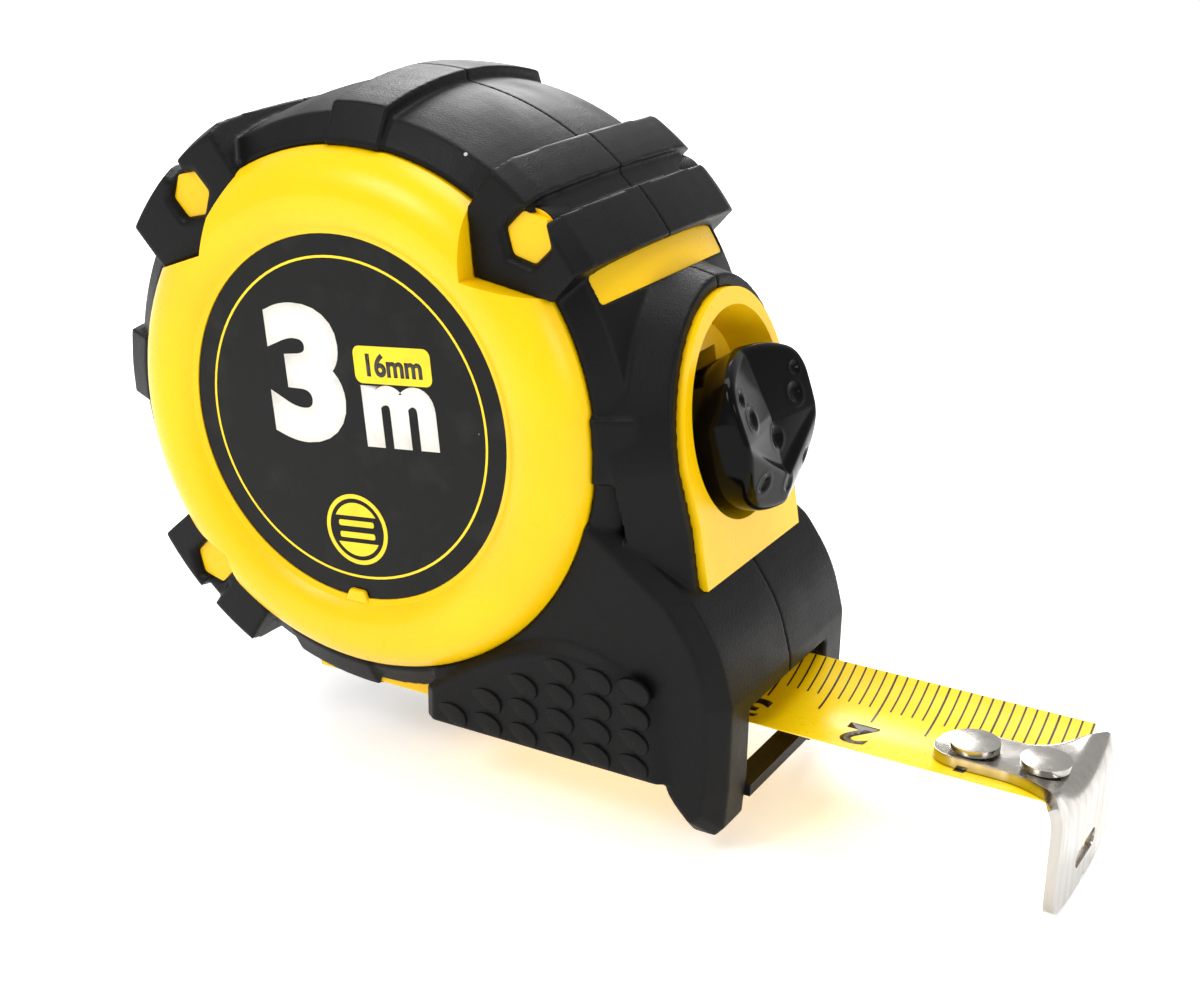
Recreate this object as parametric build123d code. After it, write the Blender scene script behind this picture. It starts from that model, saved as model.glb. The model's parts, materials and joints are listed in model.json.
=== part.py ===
from build123d import *
import math
import os

# A pocket tape measure, 3 m by 16 mm, with a rubber jacket over a two-half shell.
# It is drawn about the reel's axis: X towards the blade's hook, Y across, Z up.
# place() then moves every piece, so the origin is under the middle of the whole object.

# ---- blade and reel, working outwards ----
BLADE_W = 16.0          # blade width, measured along its curve
BLADE_T = 0.15          # steel, paint and clear coat
BLADE_CURVE_R = 14.0    # radius of the blade's hollow section
BLADE_OUT = 27.3        # blade showing between the mouth and the hook
SIDE_PLAY = 0.5         # blade edge to reel flange
FLANGE_T = 1.0
DRUM_R = 13.5
DRUM_WALL = 1.2
COIL_BUILD = 5.1        # depth of the wound blade on the drum
FLANGE_RIM = 0.9        # flange standing past the wound blade
POST_R = 3.0
HUB_WALL = 1.6
HUB_LENGTH = 3.0
POST_FIT = 0.06         # running clearance of the reel on the post
POST_SLOT = 0.9         # slot that holds the inner end of the power spring

# ---- shell ----
REEL_ROOM = 4.2         # flange to the cavity's round wall
FLANGE_ROOM = 1.8       # flange to the cavity's side wall
SHELL_WALL = 1.6
SIDE_WALL = 1.5
SHELL_CHAMFER = 2.0
RING_INSET = 1.7        # ring's outer edge, inside the shell's radius
LABEL_R = 16.5
LABEL_T = 0.3
LABEL_RISE = 1.9        # label seat above the shell's side
RING_CREST = 1.3        # ring's crest above the label
FACE_WALL = 1.5         # wall left under the label by the core
FACE_BOSS_R = 7.0

# ---- jacket ----
CROWN_T = 2.5           # rubber over the shell's rim at mid width
CROWN_DROP = 1.6        # crown's fall from mid width to its edge
CROWN_EDGE = 1.3        # crown's edge, inside the shell's side
STRAP_RISE = 0.95       # straps standing over the crown
CLAW_RISE = 1.4         # claws standing over the shell's side
CLAW_DROP = 0.5         # a claw's strap, its fall from mid width to its edge
CLAW_SHOULDER = 0.8     # slope where a claw turns over on to the crown, along the radius
CLAW_FALL = 1.9         # the same slope, across the case
WINDOW_R = 2.2          # hexagonal windows, centre to corner
WINDOW_SLOPE = 0.5      # slope round each window
WINDOW_SINK = 0.8       # yellow face below the claw's face

# Each claw: the window's distance outside the shell's radius, its angle about the reel axis, the first and
# last angle of the strap that it grows from, and the claw's corners, measured from the window's centre.
CLAWS = [
    (0.1, 45.9, 37.5, 56.5, [(-5.6, 1.9), (-5.0, -3.8), (2.5, -4.9), (4.5, -2.6)]),
    (-0.7, 134.5, 125.0, 141.5, [(-3.4, -7.0), (2.8, -4.6), (3.5, -1.2), (5.7, 2.4)]),
    (-1.0, 225.7, 218.5, 240.0, [(6.5, -3.6), (4.1, -0.9), (3.6, 2.2), (-2.6, 4.4)]),
]
GROOVE_AT = 0.42        # strap's groove, as a share of its angle
GROOVE_WIDE = 4.3       # in degrees
GROOVE_DEEP = 0.6
BAR_ANGLES = (29.2, 37.5)       # the yellow bar under the front strap
BAR_HALF = 10.9
BAR_SINK = 0.15         # yellow bar below the crown
TOP_STRAP = (-2.6, 3.0)         # first and last X
HEEL = (-8.6, 0.4)
HEEL_RISE = 0.5
FRONT_RIB = (-1.6, 4.0)         # lowest and highest Z
REAR_RIB = (-2.8, 3.4)

# ---- nose ----
NOSE_REACH = 8.7        # nose front, past the crown
NOSE_SKIN = 1.9         # rubber over the nose front
NOSE_HALF = 11.4        # shell's half width at the nose
NOSE_SIDE = 2.0         # rubber on each side of the nose
NOSE_BEVEL = 1.6        # slope between the nose's front and its sides
GRIP_BORDER = 1.1       # width of the slope round the grip panel
GRIP_RISE = 0.8         # grip panel over the side of the nose
NOSE_WALL = 2.0
EDGE_DROP = 3.2         # blade edges below the reel flange
FLOOR_GAP = 0.6         # under the blade
BELLY_WALL = 0.9
BASE_STEP = 0.85        # flat base below the belly
MOUTH_SIDE = 0.45       # mouth slot, past each edge of the blade
MOUTH_TOP = 1.5         # mouth slot, over the edges of the blade
LIP_T = 1.1             # bumper bar's height
LIP_DEPTH = 1.9         # bumper bar's thickness
FIN_DROP = 4.6          # fins below the base
FIN_DEPTH = 4.6
BELLY_BACK = 6.0        # belly's start, behind the reel axis
BASE_BACK = 7.5         # flat base's start, in front of the axis
RUN_END = 0.6           # wall behind the retracted blade's inner end

# ---- lock ----
LOCK_TILT = 9.4         # housing front leans back by this angle
HOUSING_OUT = 2.7       # rim plane in front of the crown, at the axis height
RIM_HALF = 10.2
RIM_TOP = 12.8
RIM_WAIST = -5.4        # where the rim's sides meet the chin
CHIN_HALF = 9.2
CHIN_BOTTOM = -11.0
RIM_BAND = 1.5          # width of the yellow rim
RIM_PROUD = 0.35        # rim in front of the rubber
COLLAR = 1.1            # rubber round the rim
COLLAR_SPREAD = 3.0     # the same, where the housing meets the case
POCKET_DEPTH = 3.2
POCKET_DRAFT = 24.0
BUTTON_HALF = 7.3
BUTTON_TOP = 7.6
BUTTON_BOTTOM = -6.2
BUTTON_OUT = 4.8        # crest in front of the rim plane
BUTTON_EDGE = 3.8       # pad edge in front of the rim plane
BUTTON_GAP = 0.3
NECK_GAP = 0.4          # button's neck to the pocket's wall
LOCK_TRAVEL = 3.6
STEM_HALF = 3.2
STEM_LENGTH = 6.5
STEM_T = 2.2
TONGUE_HALF = 4.2
TONGUE_T = 1.6
TONGUE_SET = 6.4        # tongue's front behind the rim plane
SHOE_LONG = 3.2
SHOE_CLEAR = 0.4        # shoe behind the retracted hook's tongue
ARM_T = 1.8             # slide's arm over the shoe
SHOE_GAP = 0.3          # brake shoe over the locked blade
SLIDE_FIT = 0.3

# ---- hook ----
HOOK_T = 0.9
TONGUE_LONG = 13.5
TONGUE_WIDE = 5.6
HOOK_DROP = 11.2
HOOK_FLARE = 4.2
HOOK_SLOT_LONG = 5.5
HOOK_SLOT_TALL = 1.5
HOOK_SLOT_UP = 3.0      # slot's middle, above the hook's bottom edge
HOOK_PLAY = 0.9
HOOK_CORNER = 1.2
RIVET_R = 1.1
RIVET_HEAD_R = 2.15
RIVET_HEAD_T = 0.6
RIVET_PITCH = 6.2
RIVET_SET = 2.9         # first rivet, behind the hook's face
RIVET_GAP = 0.08

# ---- fasteners and clip ----
SCREW_R = 1.1
SCREW_FIT = 0.25
SCREW_HEAD_R = 1.9
SCREW_HEAD_T = 1.5
BOSS_R = 2.3
NOSE_SCREW_IN = 5.8     # nose screw behind the crown
NOSE_SCREW_UP = 8.5     # nose screw over the blade's edges
CLIP_W = 12.0
CLIP_T = 0.9
CLIP_GAP = 3.0
CLIP_TOP = 12.0
CLIP_BOTTOM = -19.5
CLIP_BEND = 5.0         # length of each bend
CLIP_SCREW_Z = 8.0
CLIP_SCREW_R = 1.4
CLIP_HEAD_R = 2.8
CLIP_HEAD_T = 1.2
WASHER_R = 5.0
WASHER_T = 0.5
WASHER_FIT = 0.1
SPRING_T = 0.35
SPRING_TURNS = 7
SPRING_SIDE = 0.6        # spring's edge to the hub
DETENT_T = 0.3
PAD_T = 0.9             # rubber pad under the blade
PAD_HALF = 4.5
PAD_LONG = 4.0
BUMPER_PROUD = 0.3
BUMPER_GAP = 0.2        # hook to bumper when fully retracted
FINE = 0.05             # gap between pieces that touch in use

PILOT_END = -11.0       # inner end of the screws' pilot holes
PAD_STAND = 0.2         # pad over the shell's floor
CLIP_BOSS = 3.0         # depth of the clip screw's boss
RING_KEEP = 1.2         # width of ring left inside a claw's corner

# ---- sizes that follow ----
COIL_R = DRUM_R + COIL_BUILD
FLANGE_R = COIL_R + FLANGE_RIM
HUB_R = POST_R + HUB_WALL
COIL_HALF = BLADE_W / 2
FLANGE_IN = COIL_HALF + SIDE_PLAY
FLANGE_OUT = FLANGE_IN + FLANGE_T
CAVITY_R = FLANGE_R + REEL_ROOM
CAVITY_HALF = FLANGE_OUT + FLANGE_ROOM
SHELL_R = CAVITY_R + SHELL_WALL
SIDE_Y = CAVITY_HALF + SIDE_WALL
SEAT_Y = SIDE_Y + LABEL_RISE
LABEL_Y = SEAT_Y + LABEL_T
CREST_Y = LABEL_Y + RING_CREST
RING_R = SHELL_R - RING_INSET
CROWN_R = SHELL_R + CROWN_T
CLAW_Y = SIDE_Y + CLAW_RISE
SPRING_HALF = FLANGE_OUT - HUB_LENGTH - SPRING_SIDE

BLADE_ANGLE = BLADE_W / 2 / BLADE_CURVE_R
BLADE_HALF = BLADE_CURVE_R * math.sin(BLADE_ANGLE)
EDGE_Z = -FLANGE_R - EDGE_DROP
CURVE_Z = EDGE_Z + BLADE_CURVE_R * math.cos(BLADE_ANGLE)
BLADE_LOW = CURVE_Z - BLADE_CURVE_R - BLADE_T
FLOOR_Z = BLADE_LOW - FLOOR_GAP
BELLY_Z = FLOOR_Z - BELLY_WALL
BASE_Z = BELLY_Z - BASE_STEP
FIN_Z = BASE_Z - FIN_DROP
MOUTH_HALF = BLADE_HALF + MOUTH_SIDE
MOUTH_Z = EDGE_Z + MOUTH_TOP
LIP_Z = BASE_Z - 2 * LIP_T

NOSE_X = CROWN_R + NOSE_REACH
SHELL_NOSE_X = NOSE_X - NOSE_SKIN
NOSE_OUT = NOSE_HALF + NOSE_SIDE
FIN_BACK_X = NOSE_X - FIN_DEPTH
GRIP_Y = NOSE_OUT + GRIP_RISE
HOOK_X = NOSE_X + BLADE_OUT
BUMPER_X = NOSE_X + BUMPER_PROUD
RETRACT = HOOK_X - HOOK_T - HOOK_PLAY - BUMPER_GAP - BUMPER_X
BLADE_BACK_X = RETRACT - BELLY_BACK + RUN_END + FINE
SHOE_X = HOOK_X - TONGUE_LONG - RETRACT - HOOK_PLAY - SHOE_CLEAR
PAD_X = SHOE_X - (SHOE_LONG + PAD_LONG) / 2

RIM_X = CROWN_R + HOUSING_OUT
TILT = math.radians(LOCK_TILT)
FRONT = Plane(origin=(RIM_X, 0, 0), x_dir=(0, 1, 0), z_dir=(math.cos(TILT), 0, math.sin(TILT)))


# ---- plain shapes ----
def slab(points, half):
    """A prism across the object, from -half to half in Y, on an outline in X and Z."""
    outline = Polyline([(x, -half, z) for x, z in points], close=True)
    return extrude(make_face(outline), amount=2 * half, dir=(0, 1, 0))


def bevelled_plate(outline, inset, half, depth):
    """A plate across the object on outline(0), sloped to outline(inset) over its last depth."""
    waist = Plane.XZ.offset(half - depth) * outline(0)
    core = extrude(Plane.XZ * outline(0), amount=half - depth, both=True)
    edge = loft([waist, Plane.XZ.offset(half) * outline(inset)], ruled=True)
    return core + edge + mirror(edge, about=Plane.XZ)


def wedge(first, last, half):
    """Everything between two angles about the reel axis, out past the crown."""
    far = 2 * CROWN_R
    return slab([(0, 0), polar(far, first), polar(far, last)], half)


def turned(edges):
    """A solid of revolution about the reel axis, from edges in radius and Y."""
    return revolve(make_face(edges), axis=Axis.Y)


def ring_solid(r_in, r_out, y_low, y_high):
    """A plain ring about the reel axis."""
    corners = [(r_in, y_low), (r_out, y_low), (r_out, y_high), (r_in, y_high)]
    return turned(Polyline(corners, close=True))


def rod(x, z, radius, y_low, y_high):
    """A cylinder along Y."""
    middle = (y_low + y_high) / 2
    return Pos(x, middle, z) * Rot(90, 0, 0) * Cylinder(radius, y_high - y_low)


def block(x_low, x_high, half, z_low, z_high):
    """A box that is the same on both sides of the middle plane."""
    middle = Pos((x_low + x_high) / 2, 0, (z_low + z_high) / 2)
    return middle * Box(x_high - x_low, 2 * half, z_high - z_low)


def front_block(half, s_low, s_high, d_low, d_high):
    """A box in the lock's frame: s runs up the housing front, d out of it."""
    middle = Pos(0, (s_low + s_high) / 2, (d_low + d_high) / 2)
    return FRONT * middle * Box(2 * half, s_high - s_low, d_high - d_low)


def polar(radius, degrees):
    """A point in X and Z, turned from +X towards +Z."""
    angle = math.radians(degrees)
    return (radius * math.cos(angle), radius * math.sin(angle))


def hexagon(centre, radius, turn):
    """Corners of a hexagon in X and Z."""
    corners = [polar(radius, turn + 60 * step) for step in range(6)]
    return [(centre[0] + x, centre[1] + z) for x, z in corners]


def half_space(side):
    """Everything on one side of the middle plane."""
    size = 8 * CROWN_R
    return Pos(0, side * size / 2, 0) * Box(size, size, size)


# ---- outlines ----
def chin_point(behind):
    """Where the housing front meets the top of the nose, some way behind the surface."""
    corner = FRONT.from_local_coords((0, CHIN_BOTTOM, -behind))
    return (corner.X, corner.Z)


def nose_outline(skin):
    """Side view of the lower front above the base, the given skin inside the rubber."""
    chin_x, chin_z = chin_point(skin)
    front = NOSE_X - skin
    return [
        (BASE_BACK, -CAVITY_R / 2), (BASE_BACK, BASE_Z), (front, BASE_Z),
        (front, MOUTH_Z + 1.5), (front - 0.4, EDGE_Z + 4.6), (front - 1.5, EDGE_Z + 7.8),
        (front - 3.2, chin_z - 1.3), (chin_x, chin_z), (chin_x - 8.0, chin_z + 5.6),
    ]


def arch_face(grow, squeeze=0.0):
    """The rim's outline on the housing front: a tall arch over a square chin."""
    half = RIM_HALF + grow
    top = RIM_TOP + grow
    chin = CHIN_HALF + grow
    waist = RIM_WAIST - grow / 2
    bottom = CHIN_BOTTOM - max(grow, 0) - squeeze
    arch = EllipticalCenterArc((0, 0), half, top, start_angle=0, arc_size=180)
    left = Polyline((-half, 0), (-chin, waist), (-chin, bottom), (chin, bottom), (chin, waist), (half, 0))
    return make_face([arch, left])


def pocket_face(shrink):
    """The pocket's outline inside the rim."""
    half = RIM_HALF - RIM_BAND - shrink
    tall = (RIM_TOP - RIM_BAND - BUTTON_BOTTOM + BUTTON_GAP + RIM_BAND / 2) / 2 - shrink
    centre = (RIM_TOP - RIM_BAND) - shrink - tall
    return Pos(0, centre, 0) * make_face(Ellipse(half, tall).edges())


# ---- shell ----
def shell_ring():
    """The raised ring round the label on both sides, and the label's seat."""
    low = SIDE_Y - SHELL_CHAMFER
    width = RING_R - LABEL_R
    crest_r = LABEL_R + 0.48 * width
    outer = ThreePointArc(
        (RING_R, SIDE_Y + 0.45), (RING_R - 0.22 * width, CREST_Y - 0.85), (crest_r, CREST_Y))
    inner = ThreePointArc(
        (crest_r, CREST_Y), (LABEL_R + 0.2 * width, CREST_Y - 0.35), (LABEL_R + 0.5, LABEL_Y + 0.35))
    rest = Polyline(
        (LABEL_R + 0.5, LABEL_Y + 0.35), (LABEL_R, LABEL_Y + 0.1), (LABEL_R, SEAT_Y),
        (0, SEAT_Y), (0, low), (RING_R, low), (RING_R, SIDE_Y + 0.45))
    ring = turned([outer, inner, rest])
    return ring + mirror(ring, about=Plane.XZ)


def shell_disc():
    """The shell's round body, with a chamfered rim."""
    edge = SIDE_Y - SHELL_CHAMFER
    corner = SHELL_R - SHELL_CHAMFER
    return turned(Polyline(
        (0, -SIDE_Y), (corner, -SIDE_Y), (SHELL_R, -edge), (SHELL_R, edge),
        (corner, SIDE_Y), (0, SIDE_Y), close=True))


def belly():
    """The shell's floor under the blade, behind the flat base."""
    back = -BELLY_BACK - RUN_END
    return slab([(back, -CAVITY_R / 2), (back, BELLY_Z), (BASE_BACK, BELLY_Z), (BASE_BACK, -CAVITY_R / 2)],
                NOSE_HALF)


def housing():
    """The lock's housing, whose front is the yellow rim."""
    return FRONT * Pos(0, 0, RIM_PROUD) * extrude(arch_face(0), amount=-(TONGUE_SET + HOUSING_OUT + CROWN_T))


def shell_envelope():
    """The outside of the shell, without the ring, its hollow filled."""
    body = shell_disc() + belly() + slab(nose_outline(NOSE_SKIN), NOSE_HALF) + housing()
    for x, z in screw_spots():
        body += rod(x, z, BOSS_R, -SIDE_Y, SIDE_Y)
    bar = crown_section(-BAR_SINK, RING_R, SIDE_Y - SHELL_CHAMFER, SIDE_Y - CROWN_EDGE)
    return body + (bar & wedge(*BAR_ANGLES, BAR_HALF))


def pocket():
    """The hollow that the lock button slides in."""
    mouth = FRONT * Pos(0, 0, RIM_PROUD + FINE) * pocket_face(0)
    draft = POCKET_DEPTH * math.tan(math.radians(POCKET_DRAFT))
    floor = FRONT * Pos(0, 0, -POCKET_DEPTH) * pocket_face(draft)
    return loft([mouth, floor])


def window_centre(claw):
    """Middle of a claw's window in X and Z."""
    return polar(SHELL_R + claw[0], claw[1])


def claw_outline(claw, far):
    """Side view of a claw and of the strap behind it, out to a far radius."""
    first, last, corners = claw[2], claw[3], claw[4]
    x, z = window_centre(claw)
    near = [(x + dx, z + dz) for dx, dz in corners]
    return [polar(far, last)] + near + [polar(far, first)]


def screw_spots():
    """Places of the case screws in X and Z: three claws and the nose."""
    return [window_centre(claw) for claw in CLAWS] + [(CROWN_R - NOSE_SCREW_IN, EDGE_Z + NOSE_SCREW_UP)]


# ---- the shell's inside ----
def lock_channel():
    """Room behind the pocket for the slide, its stem and its tongue."""
    half = TONGUE_HALF + SLIDE_FIT
    back = -TONGUE_SET - TONGUE_T - SLIDE_FIT
    front = -TONGUE_SET + SLIDE_FIT
    high = STEM_LENGTH / 2 + LOCK_TRAVEL + SLIDE_FIT
    guide = front_block(half, EDGE_Z, high + SLIDE_FIT, back, front)
    slot = front_block(STEM_HALF + SLIDE_FIT, -STEM_LENGTH / 2 - SLIDE_FIT, high, back, FINE - POCKET_DEPTH)
    return guide + slot


def nose_hollow():
    """The shell's hollow nose, over the run of the blade."""
    chin_x, chin_z = chin_point(NOSE_SKIN + NOSE_WALL)
    front = SHELL_NOSE_X - NOSE_WALL
    return slab([
        (BASE_BACK, -CAVITY_R / 2), (BASE_BACK, FLOOR_Z), (front, FLOOR_Z),
        (front, EDGE_Z + 4.0), (chin_x, chin_z - 1.5), (chin_x - 8.0, chin_z + 3.0)], NOSE_HALF - NOSE_WALL)


def mouth():
    """The opening that the blade leaves through, open below in front of the base."""
    return block(NOSE_X - NOSE_SKIN - 3.0, NOSE_X + 2.0, MOUTH_HALF, LIP_Z + LIP_T, MOUTH_Z)


def hollow():
    """Everything that is empty inside the shell."""
    reel = ring_solid(0, CAVITY_R, -CAVITY_HALF, CAVITY_HALF)
    core_y = SEAT_Y - FACE_WALL
    core = ring_solid(FACE_BOSS_R, LABEL_R - FACE_WALL, -core_y, core_y)
    core += rod(0, 0, POST_R, -core_y, core_y)
    run = block(-BELLY_BACK, NOSE_X, MOUTH_HALF, FLOOR_Z, MOUTH_Z)
    return reel + core + run + mouth() + nose_hollow() + lock_channel() + pocket()


def post_boss():
    """The boss inside the -Y half that holds the centre post."""
    inner = FLANGE_OUT + WASHER_T + WASHER_FIT
    return ring_solid(POST_R, WASHER_R, -(SEAT_Y - FACE_WALL / 2), -inner)


def shell():
    """Both halves of the shell as one solid, before the screw holes."""
    ring = shell_ring()
    for claw in CLAWS:
        ring -= slab(claw_outline(claw, 2 * CROWN_R), CREST_Y + 1) - ring_solid(
            0, LABEL_R + RING_KEEP, -CREST_Y - 2, CREST_Y + 2)
    body = shell_envelope() + ring - hollow()
    for x, z in screw_spots():
        body += rod(x, z, BOSS_R, -SIDE_Y, SIDE_Y)
    body += post_boss()
    body += mirror(post_boss(), about=Plane.XZ)
    pad = block(PAD_X, PAD_X + PAD_LONG, PAD_HALF, FLOOR_Z + PAD_STAND - PAD_T, FLOOR_Z + FINE)
    clip = rod(0, CLIP_SCREW_Z, CLIP_SCREW_R, SEAT_Y - FACE_WALL - CLIP_BOSS, CREST_Y)
    boss = rod(0, CLIP_SCREW_Z, CLIP_SCREW_R + SHELL_WALL, SEAT_Y - FACE_WALL - CLIP_BOSS, SEAT_Y - FINE)
    return body + boss - pad - clip


def window_boss(claw):
    """Yellow face that shows in a claw's window on the -Y side."""
    outline = hexagon(window_centre(claw), WINDOW_R, claw[1])
    return slab(outline, CLAW_Y - WINDOW_SINK) & half_space(-1)


def left_shell():
    """The -Y half, with its pilot holes and window faces."""
    half = shell() & half_space(-1)
    for claw in CLAWS:
        half += window_boss(claw) - block(-2 * CROWN_R, 2 * CROWN_R, SIDE_Y - FINE, -CROWN_R, CROWN_R)
    for x, z in screw_spots():
        half -= rod(x, z, SCREW_R + FINE, PILOT_END, FINE)
    return half


def right_shell():
    """The +Y half, with its clearance holes and sunk screw heads."""
    half = shell() & half_space(1)
    head = SIDE_Y - SCREW_HEAD_T
    for x, z in screw_spots():
        half -= rod(x, z, SCREW_R + SCREW_FIT, -FINE, SIDE_Y)
        half -= rod(x, z, SCREW_HEAD_R + SCREW_FIT / 2, head - FINE, CREST_Y)
    return half


# ---- jacket ----
def crown_section(rise, inner_r, inner_y, edge_y, flat=0.5, drop=CROWN_DROP):
    """The rubber all round the case, raised for a strap; its side is flat just outside inner_r."""
    edge_r = CROWN_R - drop + rise
    crown = ThreePointArc((edge_r, -edge_y), (CROWN_R + rise, 0), (edge_r, edge_y))
    rest = Polyline((edge_r, edge_y), (inner_r + flat, inner_y), (inner_r, inner_y), (inner_r, -inner_y),
                    (inner_r + flat, -inner_y), (edge_r, -edge_y))
    return turned([crown, rest])


def strap_solid(outline, rise):
    """A raised band of the jacket inside an outline in X and Z."""
    side = SIDE_Y + 0.3 + rise / 2
    return crown_section(rise, RING_R + FINE, side, SIDE_Y - CROWN_EDGE + 0.6 * rise) & slab(outline, CREST_Y)


def window_hole(claw):
    """A claw's window, cut as deep as the shell's side and sloped outwards near the claw's face."""
    middle = window_centre(claw)
    sketch = Pos(*middle) * RegularPolygon(WINDOW_R, 6, rotation=claw[1])
    slope = extrude(Plane.XZ.offset(CLAW_Y - WINDOW_SLOPE) * sketch, amount=2 * WINDOW_SLOPE, taper=-42)
    under = ring_solid(0, 2 * CROWN_R, -SIDE_Y, SIDE_Y)
    return slab(hexagon(middle, WINDOW_R, claw[1]), CREST_Y) - under + slope + mirror(slope, about=Plane.XZ)


def claw_band(lower):
    """The band that a claw is cut from, lowered all over for its groove."""
    inner = LABEL_R + RING_KEEP + FINE
    rise = STRAP_RISE - lower
    flat = CROWN_R - CLAW_DROP + rise - CLAW_SHOULDER - inner
    face = CLAW_Y - lower
    return crown_section(rise, inner, face, face - CLAW_FALL, flat, CLAW_DROP)


def claw_solid(claw):
    """A claw with the strap that it grows from, its groove and its window."""
    band = claw_band(0) & slab(claw_outline(claw, 2 * CROWN_R), CREST_Y)
    first, last = claw[2], claw[3]
    start = first + GROOVE_AT * (last - first)
    groove = wedge(start, start + GROOVE_WIDE, CREST_Y)
    band -= groove - claw_band(GROOVE_DEEP) - ring_solid(0, SHELL_R + claw[0], -CREST_Y, CREST_Y)
    return band - window_hole(claw)


def radial_band(low, high, r_in):
    """Outline of a band that crosses the rim between two heights, at the front or the rear."""
    far = math.copysign(2 * CROWN_R, r_in)
    return [(r_in, low), (far, low), (far, high), (r_in, high)]


def upright_band(low, high, z_in):
    """Outline of a band that crosses the rim between two X, at the top or the bottom."""
    far = math.copysign(2 * CROWN_R, z_in)
    return [(low, z_in), (low, far), (high, far), (high, z_in)]


def straps():
    """Every raised band that isn't part of a claw."""
    inner = RING_R / 2
    top = strap_solid(upright_band(*TOP_STRAP, inner), STRAP_RISE)
    heel = strap_solid(upright_band(*HEEL, -inner), HEEL_RISE)
    rear = strap_solid(radial_band(*REAR_RIB, -inner), STRAP_RISE)
    front = strap_solid(radial_band(*FRONT_RIB, inner), STRAP_RISE)
    return [top, heel, rear, front]


def nose_side(inset):
    """Side view of the rubber over the nose."""
    corners = nose_outline(inset)
    straight = Polyline(corners[:4])
    curve = Spline(corners[3:8])
    top = Polyline(corners[7:] + corners[:1])
    return make_face([straight, curve, top])


def grip_side(inset):
    """Side view of the raised panel that the fingers hold."""
    back = BASE_BACK - 0.6 + inset
    low = BASE_Z + FINE
    arch = Spline(
        (back, low + 3.0), (BASE_BACK + 7.0, EDGE_Z + 4.0 - inset), (BASE_BACK + 12.3, EDGE_Z + 6.1 - inset),
        (BASE_BACK + 18.6 - inset / 3, EDGE_Z + 5.5 - inset), (BASE_BACK + 22.3 - inset, EDGE_Z + 3.0 - inset / 2),
        (FIN_BACK_X - 0.8 - inset, EDGE_Z - 0.8), (FIN_BACK_X - inset, low))
    foot = Polyline(arch @ 1, (back, low), arch @ 0)
    return make_face([arch, foot])


def fin_side(inset):
    """Side view of a fin; its back edge stays square."""
    low = FIN_Z + inset
    rear = Spline((FIN_BACK_X - 0.6, BASE_Z + 1.5), (FIN_BACK_X - 0.3, BASE_Z - 1.0),
                  (FIN_BACK_X + 0.5, low + 1.1), (FIN_BACK_X + 1.6, low))
    front = NOSE_X - inset
    edge = Polyline(rear @ 1, (front - 1.1, low), (front - 0.3, low + 0.9), (front, BASE_Z),
                    (front, EDGE_Z), (FIN_BACK_X - 0.6, EDGE_Z), rear @ 0)
    return make_face([rear, edge])


def nose_skin():
    """Rubber over the nose: straight across the middle, sloped in to both side faces."""
    return bevelled_plate(nose_side, NOSE_BEVEL, NOSE_OUT, NOSE_BEVEL)


def grip_panels():
    """Raised panels low on both sides of the nose."""
    return bevelled_plate(grip_side, GRIP_BORDER, GRIP_Y, GRIP_RISE)


def fins():
    """Two fins under the nose, one on each side of the mouth."""
    return bevelled_plate(fin_side, NOSE_BEVEL, NOSE_OUT, NOSE_BEVEL)


def housing_skin():
    """Rubber round the lock's housing, widening backwards from the rim."""
    collar = FRONT * Pos(0, 0, -RIM_PROUD) * arch_face(COLLAR)
    spread = FRONT * Pos(0, 0, -HOUSING_OUT - CROWN_T) * arch_face(COLLAR_SPREAD)
    return loft([collar, spread], ruled=True)


def jacket():
    """Both halves of the jacket as one solid, fitted over the shell."""
    body = crown_section(0, RING_R + FINE, SIDE_Y + 0.2, SIDE_Y - CROWN_EDGE) + housing_skin()
    for piece in [nose_skin(), fins(), grip_panels()] + straps():
        body += piece
    body -= ring_solid(0, RING_R + FINE, -2 * CREST_Y, 2 * CREST_Y)
    body -= wedge(*BAR_ANGLES, BAR_HALF)
    for claw in CLAWS:
        cut = slab(claw_outline(claw, 2 * CROWN_R), CREST_Y)
        body -= cut & ring_solid(LABEL_R, CROWN_R - FINE, -CREST_Y, CREST_Y)
        body += claw_solid(claw)
    between_fins = block(FIN_BACK_X - 2, NOSE_X + 2, MOUTH_HALF, FIN_Z - 1, MOUTH_Z)
    body -= shell_envelope() + pocket() + between_fins
    for claw in CLAWS:
        body -= window_boss(claw)
    return body


def left_jacket():
    """The -Y half of the jacket."""
    return jacket() & half_space(-1)


def right_jacket():
    """The +Y half of the jacket, open over the screw in the nose."""
    x, z = screw_spots()[-1]
    return (jacket() & half_space(1)) - rod(x, z, SCREW_HEAD_R + SCREW_FIT, 0, 2 * CREST_Y)


# ---- labels, post and fasteners ----
def label(side):
    """A printed disc in the ring's recess; the +Y one is holed for the clip's screw."""
    disc = ring_solid(0, LABEL_R - FINE, SEAT_Y, LABEL_Y)
    if side > 0:
        disc -= rod(0, CLIP_SCREW_Z, CLIP_SCREW_R + FINE, 0, CREST_Y)
    return disc if side > 0 else mirror(disc, about=Plane.XZ)


def centre_post():
    """The pin between the shells, slotted for the power spring."""
    end = SEAT_Y - FACE_WALL - FINE
    post = rod(0, 0, POST_R - FINE / 5, -end, end)
    return post - block(-POST_SLOT / 2, POST_SLOT / 2, SPRING_HALF, 0, 2 * POST_R)


def washer(side):
    """A thin washer between a post boss and the reel."""
    near = side * (FLANGE_OUT + FINE)
    far = side * (FLANGE_OUT + WASHER_T + FINE)
    return ring_solid(POST_R + FINE, WASHER_R, min(near, far), max(near, far))


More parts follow.
